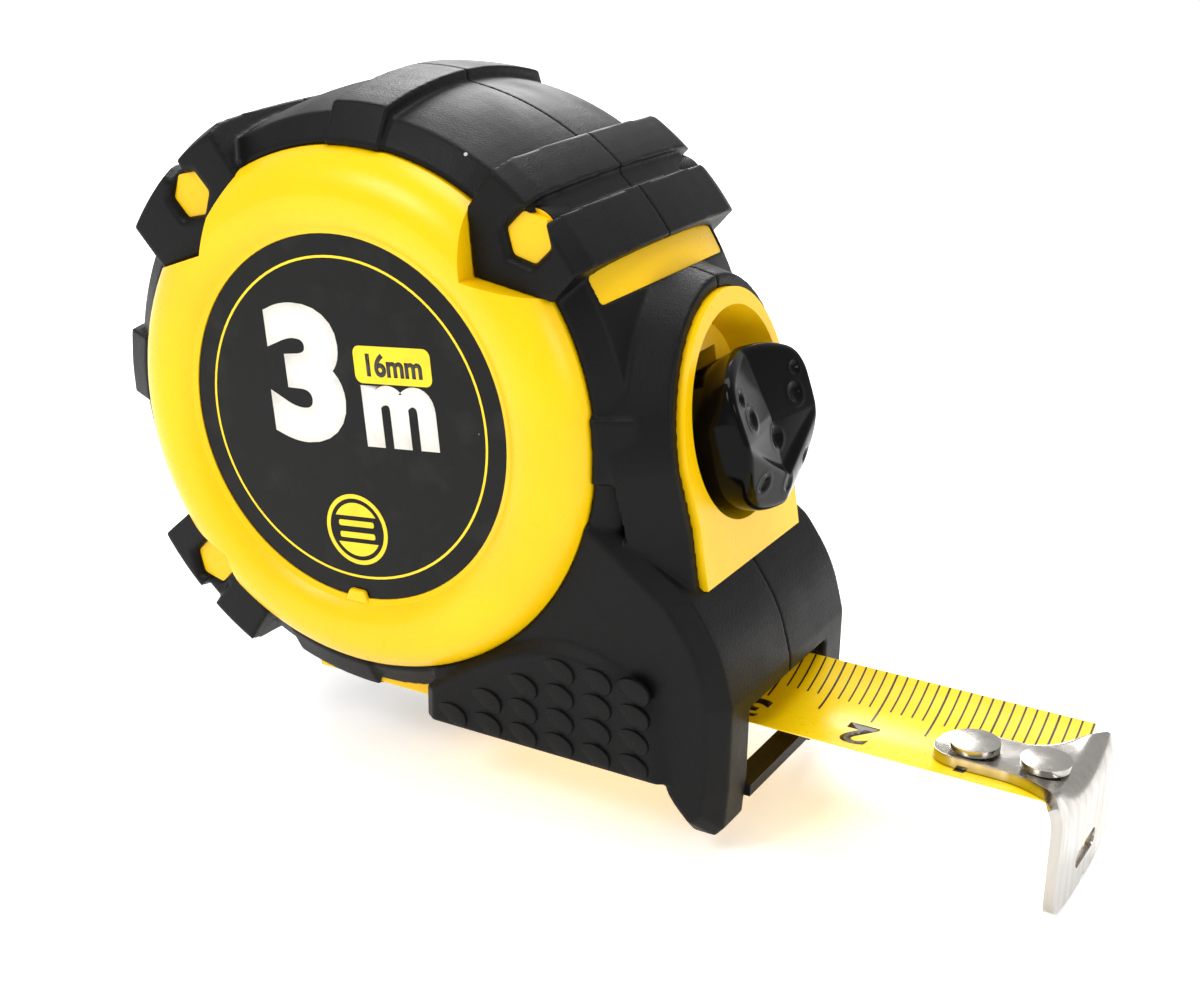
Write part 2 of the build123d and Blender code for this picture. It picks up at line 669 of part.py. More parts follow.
def case_screw(x, z):
    """A pan-head screw, driven in from the +Y side."""
    head_y = SIDE_Y - SCREW_HEAD_T
    screw = rod(x, z, SCREW_R, PILOT_END + 2 * FINE, head_y) + rod(x, z, SCREW_HEAD_R, head_y, SIDE_Y - 0.2)
    top = Pos(x, SIDE_Y - 0.2, z)
    return screw - top * Box(2.4, 1.2, 0.5) - top * Box(0.5, 1.2, 2.4)


def case_screws():
    """The four case screws."""
    return [case_screw(x, z) for x, z in screw_spots()]


def mouth_bumper():
    """A bar between the fins that the hook strikes when the blade comes home."""
    return block(NOSE_X - LIP_DEPTH, BUMPER_X, MOUTH_HALF, LIP_Z, LIP_Z + LIP_T)


def brake_pad():
    """A rubber pad in the floor, under the brake shoe."""
    back = PAD_X + FINE
    low = FLOOR_Z + PAD_STAND - PAD_T
    pad = block(back, back + PAD_LONG - 2 * FINE, PAD_HALF - FINE, low, low + PAD_T)
    hollow_above = Pos(back, 0, CURVE_Z) * Rot(0, 90, 0) * Cylinder(
        BLADE_CURVE_R + BLADE_T + PAD_STAND / 2, 4 * PAD_LONG)
    return pad - hollow_above


# ---- belt clip ----
def belt_clip():
    """A sprung steel strip on the +Y face, screwed down near its top."""
    seat = LABEL_Y + CLIP_T / 2
    out = seat + CLIP_T + CLIP_GAP
    bend = CLIP_SCREW_Z - CLIP_BEND
    tip = CREST_Y + CLIP_T / 2 + SLIDE_FIT
    path = Polyline((seat, CLIP_TOP), (seat, bend), (out, bend - CLIP_BEND), (out, CLIP_BOTTOM + CLIP_BEND),
                    (tip, CLIP_BOTTOM + 1.5), (tip + CLIP_T, CLIP_BOTTOM))
    strip = Plane.YZ * trace(path, CLIP_T)
    clip = extrude(strip, amount=CLIP_W / 2, both=True)
    return clip - rod(0, CLIP_SCREW_Z, CLIP_SCREW_R + FINE, 0, 2 * CREST_Y)


def clip_screw():
    """The screw that holds the belt clip."""
    seat = LABEL_Y + CLIP_T
    shank = rod(0, CLIP_SCREW_Z, CLIP_SCREW_R - FINE, SEAT_Y - FACE_WALL - CLIP_BOSS + FINE, seat)
    head = rod(0, CLIP_SCREW_Z, CLIP_HEAD_R, seat, seat + CLIP_HEAD_T)
    top = Pos(0, seat + CLIP_HEAD_T, CLIP_SCREW_Z)
    return shank + head - top * Box(3.2, 1.2, 0.6) - top * Box(0.6, 1.2, 3.2)


# ---- reel ----
def reel_drum():
    """The drum, its -Y flange and hub."""
    barrel = ring_solid(DRUM_R - DRUM_WALL, DRUM_R, -FLANGE_OUT, FLANGE_IN - FINE)
    flange = ring_solid(POST_R + POST_FIT, FLANGE_R, -FLANGE_OUT, -FLANGE_IN)
    hub = ring_solid(POST_R + POST_FIT, HUB_R, -FLANGE_OUT, -FLANGE_OUT + HUB_LENGTH)
    return barrel + flange + hub


def reel_cover():
    """The +Y flange, which snaps into the drum."""
    flange = ring_solid(POST_R + POST_FIT, FLANGE_R, FLANGE_IN, FLANGE_OUT)
    hub = ring_solid(POST_R + POST_FIT, HUB_R, FLANGE_OUT - HUB_LENGTH, FLANGE_OUT)
    lip_r = DRUM_R - DRUM_WALL - FINE
    return flange + hub + ring_solid(lip_r - 0.8, lip_r, FLANGE_IN - 0.8, FLANGE_IN)


def spiral(radius, pitch):
    """A spiral of quarter-turn arcs, growing by the pitch each turn."""
    arcs = []
    for step in range(4 * SPRING_TURNS):
        ends = [polar(radius + pitch * (step + part) / 4, 90 * (step + part)) for part in (0, 0.5, 1)]
        arcs.append(ThreePointArc(*ends))
    return arcs


def power_spring():
    """The flat spiral that winds the blade in, anchored on the post."""
    inner = POST_R + 4 * POST_FIT + SPRING_T
    pitch = (DRUM_R - DRUM_WALL - FLANGE_T - inner) / SPRING_TURNS
    outside = spiral(inner, pitch)
    inside = spiral(inner - SPRING_T, pitch)
    ends = [Line(outside[0] @ 0, inside[0] @ 0), Line(outside[-1] @ 1, inside[-1] @ 1)]
    return extrude(Plane.XZ * make_face(outside + inside + ends), amount=SPRING_HALF, both=True)


def tape_coil():
    """The wound blade on the drum."""
    return ring_solid(DRUM_R + FINE, COIL_R, -COIL_HALF, COIL_HALF)


# ---- blade ----
def blade_face(x, lift, flatten):
    """Section of the blade at x; flatten runs from 0, hollow, to 1, nearly flat."""
    radius = BLADE_CURVE_R / (1.02 - flatten)
    half_angle = BLADE_W / 2 / radius
    half = radius * math.sin(half_angle)
    sag = radius * (1 - math.cos(half_angle))
    low = BLADE_LOW + BLADE_T + lift
    grow = 1 + BLADE_T / radius
    top = ThreePointArc((x, -half, low + sag), (x, 0, low), (x, half, low + sag))
    bottom = ThreePointArc((x, -half * grow, low + sag), (x, 0, low - BLADE_T), (x, half * grow, low + sag))
    ends = [Line(top @ 0, bottom @ 0), Line(top @ 1, bottom @ 1)]
    return make_face([top, bottom] + ends)


def straight_blade(x_low, x_high):
    """A straight length of the hollow blade."""
    return extrude(blade_face(x_low, 0, 0.02), amount=x_high - x_low, dir=(1, 0, 0))


def rivet_spots():
    """X of both rivets."""
    first = HOOK_X - HOOK_T - RIVET_SET
    return [first, first - RIVET_PITCH]


def tape_blade():
    """The straight stretch of blade, from inside the case to the hook."""
    blade = straight_blade(BLADE_BACK_X, HOOK_X - HOOK_T - HOOK_PLAY - FINE)
    for x in rivet_spots():
        blade -= Pos(x, 0, BLADE_LOW) * Cylinder(RIVET_R + FINE, 4)
    return blade


def blade_transition():
    """The stretch that flattens and curls on to the reel."""
    drop = -COIL_R - BLADE_T - FINE - (BLADE_LOW + BLADE_T)
    sections = [blade_face(BLADE_BACK_X - FINE, 0, 0.02),
                blade_face(BLADE_BACK_X / 2, drop / 2, 0.5),
                blade_face(0, drop, 0.97)]
    return loft(sections)


def hook_rivet(x):
    """A rivet through the hook's tongue and the blade."""
    top = BLADE_LOW + BLADE_T + RIVET_GAP + HOOK_T
    shank = Pos(x, 0, 0) * extrude(Plane.XY.offset(BLADE_LOW - RIVET_HEAD_T / 2) * Circle(RIVET_R),
                                   amount=top - BLADE_LOW + RIVET_HEAD_T)
    lift = RIVET_GAP + RIVET_HEAD_R ** 2 / (2 * (BLADE_CURVE_R - HOOK_T))
    head = Pos(x, 0, top + lift + RIVET_HEAD_T / 2) * Cylinder(RIVET_HEAD_R, RIVET_HEAD_T)
    foot = Pos(x, 0, BLADE_LOW - RIVET_GAP - RIVET_HEAD_T / 4) * Cylinder(RIVET_R * 1.3, RIVET_HEAD_T / 2)
    return shank + head + foot


def hook_rivets():
    """Both rivets."""
    return [hook_rivet(x) for x in rivet_spots()]


# ---- hook ----
def hook_sheet(radius):
    """The hook's top before it is cut to outline: a hollow strip like the blade."""
    back = HOOK_X - TONGUE_LONG - 1
    outer = Pos(back, 0, CURVE_Z) * Rot(0, 90, 0) * Cylinder(
        radius, TONGUE_LONG + 1, align=(Align.CENTER, Align.CENTER, Align.MIN))
    inner = Pos(back, 0, CURVE_Z) * Rot(0, 90, 0) * Cylinder(
        radius - HOOK_T, TONGUE_LONG + 1, align=(Align.CENTER, Align.CENTER, Align.MIN))
    return outer - inner


def hook_top():
    """The tongue on the blade, widening to the whole blade at the bend."""
    half = TONGUE_WIDE / 2
    tip = HOOK_X - TONGUE_LONG
    flare = HOOK_X - HOOK_FLARE
    near = [(tip + half, -half), (flare, -half), (HOOK_X, -BLADE_HALF), (HOOK_X, BLADE_HALF),
            (flare, half), (tip + half, half)]
    edge = Polyline(near)
    nose = ThreePointArc(near[-1], (tip, 0), near[0])
    prism = extrude(Plane.XY.offset(CURVE_Z - 2 * BLADE_CURVE_R) * make_face([edge, nose]),
                    amount=2 * BLADE_CURVE_R)
    return hook_sheet(BLADE_CURVE_R - RIVET_GAP) & prism


def hook_drop():
    """The plate that hangs over the work, with its nail slot and nick."""
    low = EDGE_Z - HOOK_DROP
    plate = block(HOOK_X - HOOK_T, HOOK_X, BLADE_HALF, low, EDGE_Z)
    plate = fillet(plate.edges().filter_by(Axis.X).group_by(Axis.Z)[0], HOOK_CORNER)
    above = Pos(HOOK_X, 0, CURVE_Z) * Rot(0, 90, 0) * Cylinder(BLADE_CURVE_R - RIVET_GAP - HOOK_T / 2, 4)
    slot = block(HOOK_X - 2, HOOK_X + 1, HOOK_SLOT_LONG / 2, low + HOOK_SLOT_UP - HOOK_SLOT_TALL / 2,
                 low + HOOK_SLOT_UP + HOOK_SLOT_TALL / 2)
    nick = Pos(HOOK_X, 0, low) * Rot(45, 0, 0) * Box(4, HOOK_T, HOOK_T)
    return plate - above - slot - nick


def end_hook():
    """The steel hook, slotted where the rivets let it slide by its own thickness."""
    hook = hook_top() + hook_drop()
    for x in rivet_spots():
        slot = SlotCenterToCenter(HOOK_PLAY, 2 * (RIVET_R + RIVET_GAP))
        hook -= Pos(x + HOOK_PLAY / 2, 0, BLADE_LOW) * extrude(slot, amount=BLADE_CURVE_R, both=True)
    return hook


# ---- lock ----
def button_face(inset):
    """The lock button's outline: wide at the top, narrowing to a round bottom."""
    half = BUTTON_HALF - inset
    top = BUTTON_TOP - inset
    low = BUTTON_BOTTOM + inset
    crown = ThreePointArc((half - 1.0, top - 1.4), (0, top), (1.0 - half, top - 1.4))
    left = Polyline((1.0 - half, top - 1.4), (-half, top - 3.2), (-half, top - 5.0), (-0.62 * half, low + 2.6))
    right = Polyline((half - 1.0, top - 1.4), (half, top - 3.2), (half, top - 5.0), (0.62 * half, low + 2.6))
    foot = ThreePointArc((-0.62 * half, low + 2.6), (0, low), (0.62 * half, low + 2.6))
    return make_face([crown, left, foot, right])


def lock_button():
    """The thumb pad, crested down the middle."""
    back = RIM_PROUD + BUTTON_GAP
    base = FRONT * Pos(0, 0, back) * extrude(button_face(0), amount=BUTTON_EDGE - back)
    crest = FRONT * Pos(0, 0, BUTTON_EDGE) * extrude(button_face(0), amount=BUTTON_OUT - BUTTON_EDGE, taper=48)
    shrink = POCKET_DEPTH * math.tan(math.radians(POCKET_DRAFT)) + NECK_GAP
    room = pocket_face(shrink) & (Pos(0, -LOCK_TRAVEL, 0) * pocket_face(shrink)) & button_face(0)
    neck = FRONT * Pos(0, 0, back) * extrude(room, amount=BUTTON_GAP - POCKET_DEPTH - back)
    socket = front_block(STEM_HALF - 0.8, -STEM_LENGTH / 2 + 1.0, STEM_LENGTH / 2 - 1.0,
                         -POCKET_DEPTH, BUTTON_EDGE / 2)
    return base + crest + neck - socket


def lock_slide():
    """The slide behind the button, whose tongue reaches down to the blade."""
    peg = front_block(STEM_HALF - 0.8 - FINE, -STEM_LENGTH / 2 + 1.0 + FINE, STEM_LENGTH / 2 - 1.0 - FINE,
                      -POCKET_DEPTH, BUTTON_EDGE / 2 - FINE)
    stem = front_block(STEM_HALF, -STEM_LENGTH / 2, STEM_LENGTH / 2, -TONGUE_SET - TONGUE_T / 2,
                       -POCKET_DEPTH + BUTTON_GAP - FINE)
    tongue = front_block(TONGUE_HALF, 1.2 * EDGE_Z, STEM_LENGTH / 2, -TONGUE_SET - TONGUE_T, -TONGUE_SET)
    tongue -= block(0, 2 * NOSE_X, BLADE_W, 2 * FIN_Z, EDGE_Z + FINE)
    foot = FRONT.from_local_coords((0, EDGE_Z, -TONGUE_SET - TONGUE_T / 2))
    arm = block(SHOE_X - SHOE_LONG, foot.X, TONGUE_HALF, EDGE_Z + FINE, EDGE_Z + ARM_T)
    return peg + stem + tongue + arm


def brake_shoe():
    """The rubber foot of the slide, shaped to the hollow of the blade."""
    foot = block(SHOE_X - SHOE_LONG, SHOE_X, TONGUE_HALF, 1.5 * EDGE_Z, EDGE_Z + FINE)
    return foot & (Pos(0, 0, CURVE_Z) * Rot(0, 90, 0) * Cylinder(BLADE_CURVE_R - SHOE_GAP, 4 * NOSE_X))


def detent_spring():
    """A leaf that the slide clicks past, held in the shell over the reel."""
    back = -TONGUE_SET - TONGUE_T - SLIDE_FIT
    leaf = front_block(TONGUE_HALF - 1.0, -1.0, CROWN_R, back - DETENT_T, back)
    return leaf & ring_solid(0, CAVITY_R - FINE / 5, -CAVITY_HALF, CAVITY_HALF)


# ---- export ----
ORIGIN = (
    (HOOK_X - CROWN_R - STRAP_RISE) / 2,
    (LABEL_Y + 2 * CLIP_T + CLIP_GAP - CREST_Y) / 2,
    EDGE_Z - HOOK_DROP,
)

PIECES = {
    "left_shell": left_shell,
    "right_shell": right_shell,
    "left_jacket": left_jacket,
    "right_jacket": right_jacket,
    "left_label": lambda: label(-1),
    "right_label": lambda: label(1),
    "centre_post": centre_post,
    "left_washer": lambda: washer(-1),
    "right_washer": lambda: washer(1),
    "case_screws": case_screws,
    "mouth_bumper": mouth_bumper,
    "brake_pad": brake_pad,
    "belt_clip": belt_clip,
    "clip_screw": clip_screw,
    "detent_spring": detent_spring,
    "reel_drum": reel_drum,
    "reel_cover": reel_cover,
    "power_spring": power_spring,
    "tape_coil": tape_coil,
    "blade_transition": blade_transition,
    "tape_blade": tape_blade,
    "hook_rivets": hook_rivets,
    "end_hook": end_hook,
    "lock_button": lock_button,
    "lock_slide": lock_slide,
    "brake_shoe": brake_shoe,
}


def place(shape):
    """The finished piece, moved to the object's own origin."""
    solids = shape if isinstance(shape, list) else shape.solids()
    moved = [Pos(*[-value for value in ORIGIN]) * solid for solid in solids]
    return moved[0] if len(moved) == 1 else Compound(children=moved)


def main():
    """Write one STEP file for each piece."""
    os.makedirs("parts", exist_ok=True)
    for name, make in PIECES.items():
        export_step(place(make()), "parts/" + name + ".step")
    print("joint values in mm: axis", [-value for value in ORIGIN], "retract", RETRACT, "coil", COIL_R)


main()
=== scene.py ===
import json
import math

import bpy
from mathutils import Matrix, Vector


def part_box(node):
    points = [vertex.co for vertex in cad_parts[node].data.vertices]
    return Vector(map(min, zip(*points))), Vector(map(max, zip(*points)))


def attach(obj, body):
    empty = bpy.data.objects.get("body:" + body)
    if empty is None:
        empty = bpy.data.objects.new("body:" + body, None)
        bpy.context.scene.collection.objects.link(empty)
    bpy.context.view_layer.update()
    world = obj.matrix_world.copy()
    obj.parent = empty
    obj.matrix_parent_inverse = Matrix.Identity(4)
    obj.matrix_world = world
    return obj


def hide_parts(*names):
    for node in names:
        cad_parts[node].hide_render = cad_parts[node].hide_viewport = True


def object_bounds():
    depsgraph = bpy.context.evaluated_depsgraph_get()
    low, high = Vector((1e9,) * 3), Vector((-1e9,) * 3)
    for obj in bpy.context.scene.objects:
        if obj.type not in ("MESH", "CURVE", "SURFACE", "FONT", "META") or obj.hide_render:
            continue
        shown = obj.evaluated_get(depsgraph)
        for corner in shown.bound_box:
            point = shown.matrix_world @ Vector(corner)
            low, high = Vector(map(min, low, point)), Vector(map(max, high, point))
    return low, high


# Places are in millimetres from the reel's axis: X towards the hook, Y across, Z up.
MM = 0.001
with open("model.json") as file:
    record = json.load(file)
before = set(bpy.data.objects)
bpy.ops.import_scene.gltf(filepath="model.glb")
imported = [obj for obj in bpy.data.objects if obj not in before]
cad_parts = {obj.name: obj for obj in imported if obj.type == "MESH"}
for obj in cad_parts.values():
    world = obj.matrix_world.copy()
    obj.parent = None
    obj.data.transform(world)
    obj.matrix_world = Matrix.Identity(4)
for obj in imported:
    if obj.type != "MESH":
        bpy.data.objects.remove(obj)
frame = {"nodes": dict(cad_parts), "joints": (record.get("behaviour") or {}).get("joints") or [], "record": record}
cad_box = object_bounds()
nodes = frame["nodes"]
joints = {joint["name"]: joint for joint in frame["joints"]}
REEL = Vector(joints["reel_spin"]["pos_m"])


def at(x, y, z):
    """A place given in millimetres from the reel's axis, in metres in the object's frame."""
    return REEL + Vector((x, y, z)) * MM


def low(node):
    """Lowest corner of a CAD node, in millimetres from the reel's axis."""
    return (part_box(node)[0] - REEL) / MM


def high(node):
    """Highest corner of a CAD node, in millimetres from the reel's axis."""
    return (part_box(node)[1] - REEL) / MM


# ---- modelling by hand ----
MERGE_GAP = 0.000004


def deselect():
    """Leaves edit mode and selects nothing."""
    if bpy.context.object and bpy.context.object.mode != "OBJECT":
        bpy.ops.object.mode_set(mode="OBJECT")
    bpy.ops.object.select_all(action="DESELECT")


def take(piece):
    """Selects one object and makes it the active one."""
    deselect()
    piece.select_set(True)
    bpy.context.view_layer.objects.active = piece


def named(name):
    """Names the object that an operator has just added."""
    piece = bpy.context.object
    piece.name = name
    piece.data.name = name
    return piece


def settle(piece):
    """Puts the object's place into its mesh, so that the object sits at the origin, unturned."""
    take(piece)
    bpy.ops.object.transform_apply(location=True, rotation=True, scale=True)
    return piece


def edit(piece):
    """Opens a piece in edit mode with everything selected."""
    take(piece)
    bpy.ops.object.mode_set(mode="EDIT")
    bpy.ops.mesh.select_all(action="SELECT")


def close_edit():
    """Goes back to object mode."""
    bpy.ops.object.mode_set(mode="OBJECT")


def modify(piece, kind, **settings):
    """Adds a modifier and applies it."""
    take(piece)
    modifier = piece.modifiers.new(kind.lower(), kind)
    for key, value in settings.items():
        setattr(modifier, key, value)
    bpy.ops.object.modifier_apply(modifier=modifier.name)


def smooth(piece, degrees=35):
    """Shades a piece smooth where its faces meet at less than an angle."""
    take(piece)
    bpy.ops.object.shade_smooth_by_angle(angle=math.radians(degrees))
    return piece


def copy_of(piece, name):
    """A copy with a mesh of its own."""
    twin = piece.copy()
    twin.data = piece.data.copy()
    twin.name = name
    twin.data.name = name
    for key in [key for key in twin.keys() if key.startswith("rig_")]:
        del twin[key]
    twin.parent = None
    twin.hide_render = False
    twin.hide_viewport = False
    bpy.context.scene.collection.objects.link(twin)
    return twin


def join(pieces, name):
    """One object from several."""
    deselect()
    for piece in pieces:
        piece.select_set(True)
    bpy.context.view_layer.objects.active = pieces[0]
    bpy.ops.object.join()
    return named(name)


def merged_copy(node, name):
    """A CAD node's copy with its loose triangles merged, ready to be worked on."""
    piece = copy_of(nodes[node], name)
    edit(piece)
    bpy.ops.mesh.remove_doubles(threshold=MERGE_GAP)
    close_edit()
    return piece


def finish_piece(piece, body, material, stands_for=()):
    """Material and body of a finished piece; the CAD parts that it stands for are hidden."""
    piece.data.materials.clear()
    piece.data.materials.append(material)
    if stands_for:
        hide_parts(*stands_for)
    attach(piece, body)


def moulded(node, name, voxel, rounds):
    """A CAD node's copy with the small rounded edges of a moulding."""
    piece = merged_copy(node, name)
    modify(piece, "REMESH", mode="VOXEL", voxel_size=voxel * MM, use_smooth_shade=True)
    modify(piece, "SMOOTH", factor=0.5, iterations=rounds)
    return piece


# ---- camera, floor and light ----
MIDDLE = (Vector(cad_box[0]) + Vector(cad_box[1])) / 2
FLOOR_Z = cad_box[0][2] - 0.0002
FLOOR_SIZE = 30.0
PAPER_WHITE = 0.93
PAPER_GLOW = 0.38
SKY_STRENGTH = 0.62
LENS = 57.63
FILM_WIDTH = 36.0
CAMERA_AT = (96.459, -141.818, 54.224)
CAMERA_TURN = math.radians(29.278)
CAMERA_RISE = math.radians(20.984)
CAMERA_ROLL = math.radians(0.966)
# Each light: name, place and width in metres, power in watts.
LIGHTS = (
    ("key", (-0.18, -0.38, 0.42), 0.22, 1.2),
    ("front", (0.42, -0.12, 0.22), 0.16, 0.35),
    ("top", (0.02, 0.10, 0.50), 0.30, 1.2),
    ("back", (-0.24, 0.42, 0.30), 0.26, 1.6),
)


def add_camera():
    """The camera, turned round the object, raised and rolled a little."""
    data = bpy.data.cameras.new("camera")
    data.lens = LENS
    data.sensor_width = FILM_WIDTH
    data.clip_start = 0.01
    camera = bpy.data.objects.new("camera", data)
    bpy.context.scene.collection.objects.link(camera)
    flat = math.cos(CAMERA_RISE)
    back = Vector((math.sin(CAMERA_TURN) * flat, -math.cos(CAMERA_TURN) * flat, math.sin(CAMERA_RISE)))
    level = Vector((math.cos(CAMERA_TURN), math.sin(CAMERA_TURN), 0.0))
    upright = back.cross(level)
    right = level * math.cos(CAMERA_ROLL) + upright * math.sin(CAMERA_ROLL)
    up = upright * math.cos(CAMERA_ROLL) - level * math.sin(CAMERA_ROLL)
    turned = Matrix((right, up, back)).transposed().to_4x4()
    camera.matrix_world = Matrix.Translation(at(*CAMERA_AT)) @ turned
    bpy.context.scene.camera = camera


def area_light(name, place, size, power):
    """A round soft light that looks at the object's middle."""
    data = bpy.data.lights.new(name, "AREA")
    data.shape = "DISK"
    data.size = size
    data.energy = power
    light = bpy.data.objects.new(name, data)
    bpy.context.scene.collection.objects.link(light)
    light.location = place
    light.rotation_euler = (MIDDLE - place).to_track_quat("-Z", "Y").to_euler()


def add_floor():
    """A sheet of pale paper that is wider than any view."""
    deselect()
    bpy.ops.mesh.primitive_plane_add(size=FLOOR_SIZE, location=(0, 0, FLOOR_Z))
    floor = named("floor")
    material = bpy.data.materials.new("floor_paper")
    material.use_nodes = True
    shader = material.node_tree.nodes["Principled BSDF"]
    shader.inputs["Base Color"].default_value = (PAPER_WHITE, PAPER_WHITE, PAPER_WHITE, 1)
    shader.inputs["Roughness"].default_value = 0.8
    shader.inputs["Emission Color"].default_value = (1, 1, 1, 1)
    shader.inputs["Emission Strength"].default_value = PAPER_GLOW
    floor.data.materials.append(material)


def add_studio():
    """Camera, floor, lights and an even pale sky."""
    add_camera()
    add_floor()
    for name, place, size, power in LIGHTS:
        area_light(name, Vector(place), size, power)
    world = bpy.data.worlds.new("studio")
    world.use_nodes = True
    sky = world.node_tree.nodes["Background"]
    sky.inputs["Color"].default_value = (1, 1, 1, 1)
    sky.inputs["Strength"].default_value = SKY_STRENGTH
    bpy.context.scene.world = world
    bpy.context.scene.view_settings.view_transform = "Standard"


# ---- effects shared by the finishes ----
def new_group(name, inputs, outputs):
    """An empty node group with named sockets."""
    group = bpy.data.node_groups.new(name, "ShaderNodeTree")
    for label, kind, value in inputs:
        socket = group.interface.new_socket(label, in_out="INPUT", socket_type=kind)
        socket.default_value = value
    for label, kind in outputs:
        group.interface.new_socket(label, in_out="OUTPUT", socket_type=kind)
    return group, group.nodes.new("NodeGroupInput"), group.nodes.new("NodeGroupOutput")


def grain_group():
    """Fine moulded grain with larger soft unevenness: a height, and a cloud that varies slowly."""
    group, given, out = new_group(
        "grain",
        [("Scale", "NodeSocketFloat", 4000.0), ("Cloud Scale", "NodeSocketFloat", 120.0)],
        [("Height", "NodeSocketFloat"), ("Cloud", "NodeSocketFloat")])
    steps, links = group.nodes, group.links
    place = steps.new("ShaderNodeTexCoord")
    fine = steps.new("ShaderNodeTexNoise")
    fine.inputs["Detail"].default_value = 3.0
    fine.inputs["Roughness"].default_value = 0.6
    cloud = steps.new("ShaderNodeTexNoise")
    cloud.inputs["Detail"].default_value = 4.0
    for texture, scale in ((fine, "Scale"), (cloud, "Cloud Scale")):
        links.new(place.outputs["Object"], texture.inputs["Vector"])
        links.new(given.outputs[scale], texture.inputs["Scale"])
    links.new(fine.outputs["Fac"], out.inputs["Height"])
    links.new(cloud.outputs["Fac"], out.inputs["Cloud"])
    return group


def specks_group():
    """Scattered dust: a mask that is 1 on each speck."""
    group, given, out = new_group(
        "specks",
        [("Scale", "NodeSocketFloat", 260.0), ("Size", "NodeSocketFloat", 0.05),
         ("Share", "NodeSocketFloat", 0.1)],
        [("Mask", "NodeSocketFloat")])
    steps, links = group.nodes, group.links
    place = steps.new("ShaderNodeTexCoord")
    cells = steps.new("ShaderNodeTexVoronoi")
    near = steps.new("ShaderNodeMath")
    near.operation = "LESS_THAN"
    chosen = steps.new("ShaderNodeSeparateColor")
    few = steps.new("ShaderNodeMath")
    few.operation = "LESS_THAN"
    both = steps.new("ShaderNodeMath")
    both.operation = "MULTIPLY"
    links.new(place.outputs["Object"], cells.inputs["Vector"])
    links.new(given.outputs["Scale"], cells.inputs["Scale"])
    links.new(cells.outputs["Distance"], near.inputs[0])
    links.new(given.outputs["Size"], near.inputs[1])
    links.new(cells.outputs["Color"], chosen.inputs[0])
    links.new(chosen.outputs[0], few.inputs[0])
    links.new(given.outputs["Share"], few.inputs[1])
    links.new(near.outputs[0], both.inputs[0])
    links.new(few.outputs[0], both.inputs[1])
    links.new(both.outputs[0], out.inputs["Mask"])
    return group


GRAIN = grain_group()
SPECKS = specks_group()


class Finish:
    """A material with a Principled shader and short ways to place nodes in it."""

    def __init__(self, name, color, roughness, metallic=0.0, level=0.5):
        self.material = bpy.data.materials.new(name)
        self.material.use_nodes = True
        self.tree = self.material.node_tree
        self.shader = self.tree.nodes["Principled BSDF"]
        self.color = (*color, 1.0)
        self.shader.inputs["Base Color"].default_value = self.color
        self.shader.inputs["Roughness"].default_value = roughness
        self.shader.inputs["Metallic"].default_value = metallic
        self.shader.inputs["Specular IOR Level"].default_value = level

    def group(self, group, **values):
        """One of the shared effects, with its sockets set."""
        node = self.tree.nodes.new("ShaderNodeGroup")
        node.node_tree = group
        for key, value in values.items():
            node.inputs[key.replace("_", " ")].default_value = value
        return node

    def mix(self, mask, below, above):
        """Colour that runs from below to above with a mask; below may be a socket."""
        node = self.tree.nodes.new("ShaderNodeMix")
        node.data_type = "RGBA"
        self.tree.links.new(mask, node.inputs["Factor"])
        if isinstance(below, tuple):
            node.inputs["A"].default_value = below
        else:
            self.tree.links.new(below, node.inputs["A"])
        node.inputs["B"].default_value = above
        return node.outputs["Result"]

    def span(self, value, first, last, start=0.0, end=1.0):
        """A value stretched from one range on to another."""
        node = self.tree.nodes.new("ShaderNodeMapRange")
        self.tree.links.new(value, node.inputs["Value"])
        node.inputs["From Min"].default_value = first
        node.inputs["From Max"].default_value = last
        node.inputs["To Min"].default_value = start
        node.inputs["To Max"].default_value = end
        return node.outputs["Result"]

    def bump(self, height, strength, distance):
        """Relief from a height; distance is its depth in metres."""
        node = self.tree.nodes.new("ShaderNodeBump")
        node.inputs["Strength"].default_value = strength
        node.inputs["Distance"].default_value = distance
        self.tree.links.new(height, node.inputs["Height"])
        self.tree.links.new(node.outputs["Normal"], self.shader.inputs["Normal"])

    def feed(self, value, socket):
        """Leads a value into the shader."""
        self.tree.links.new(value, self.shader.inputs[socket])


def rubber_finish():
    """Matt black rubber with a fine grain, paler scuffs and a little dust."""
    color = (0.0026, 0.0027, 0.003)
    finish = Finish("black_rubber", color, 0.45, level=0.16)
    grain = finish.group(GRAIN, Scale=5200.0, Cloud_Scale=160.0)
    dust = finish.group(SPECKS, Scale=420.0, Size=0.07, Share=0.05)
    paler = tuple(4.0 * value for value in color) + (1.0,)
    scuffs = finish.mix(finish.span(grain.outputs["Cloud"], 0.45, 0.8, 0.0, 0.35), finish.color, paler)
    finish.feed(finish.mix(dust.outputs["Mask"], scuffs, (0.5, 0.5, 0.48, 1.0)), "Base Color")
    finish.feed(finish.span(grain.outputs["Cloud"], 0.3, 0.7, 0.38, 0.52), "Roughness")
    finish.bump(grain.outputs["Height"], 0.35, 0.00012)
    return finish.material


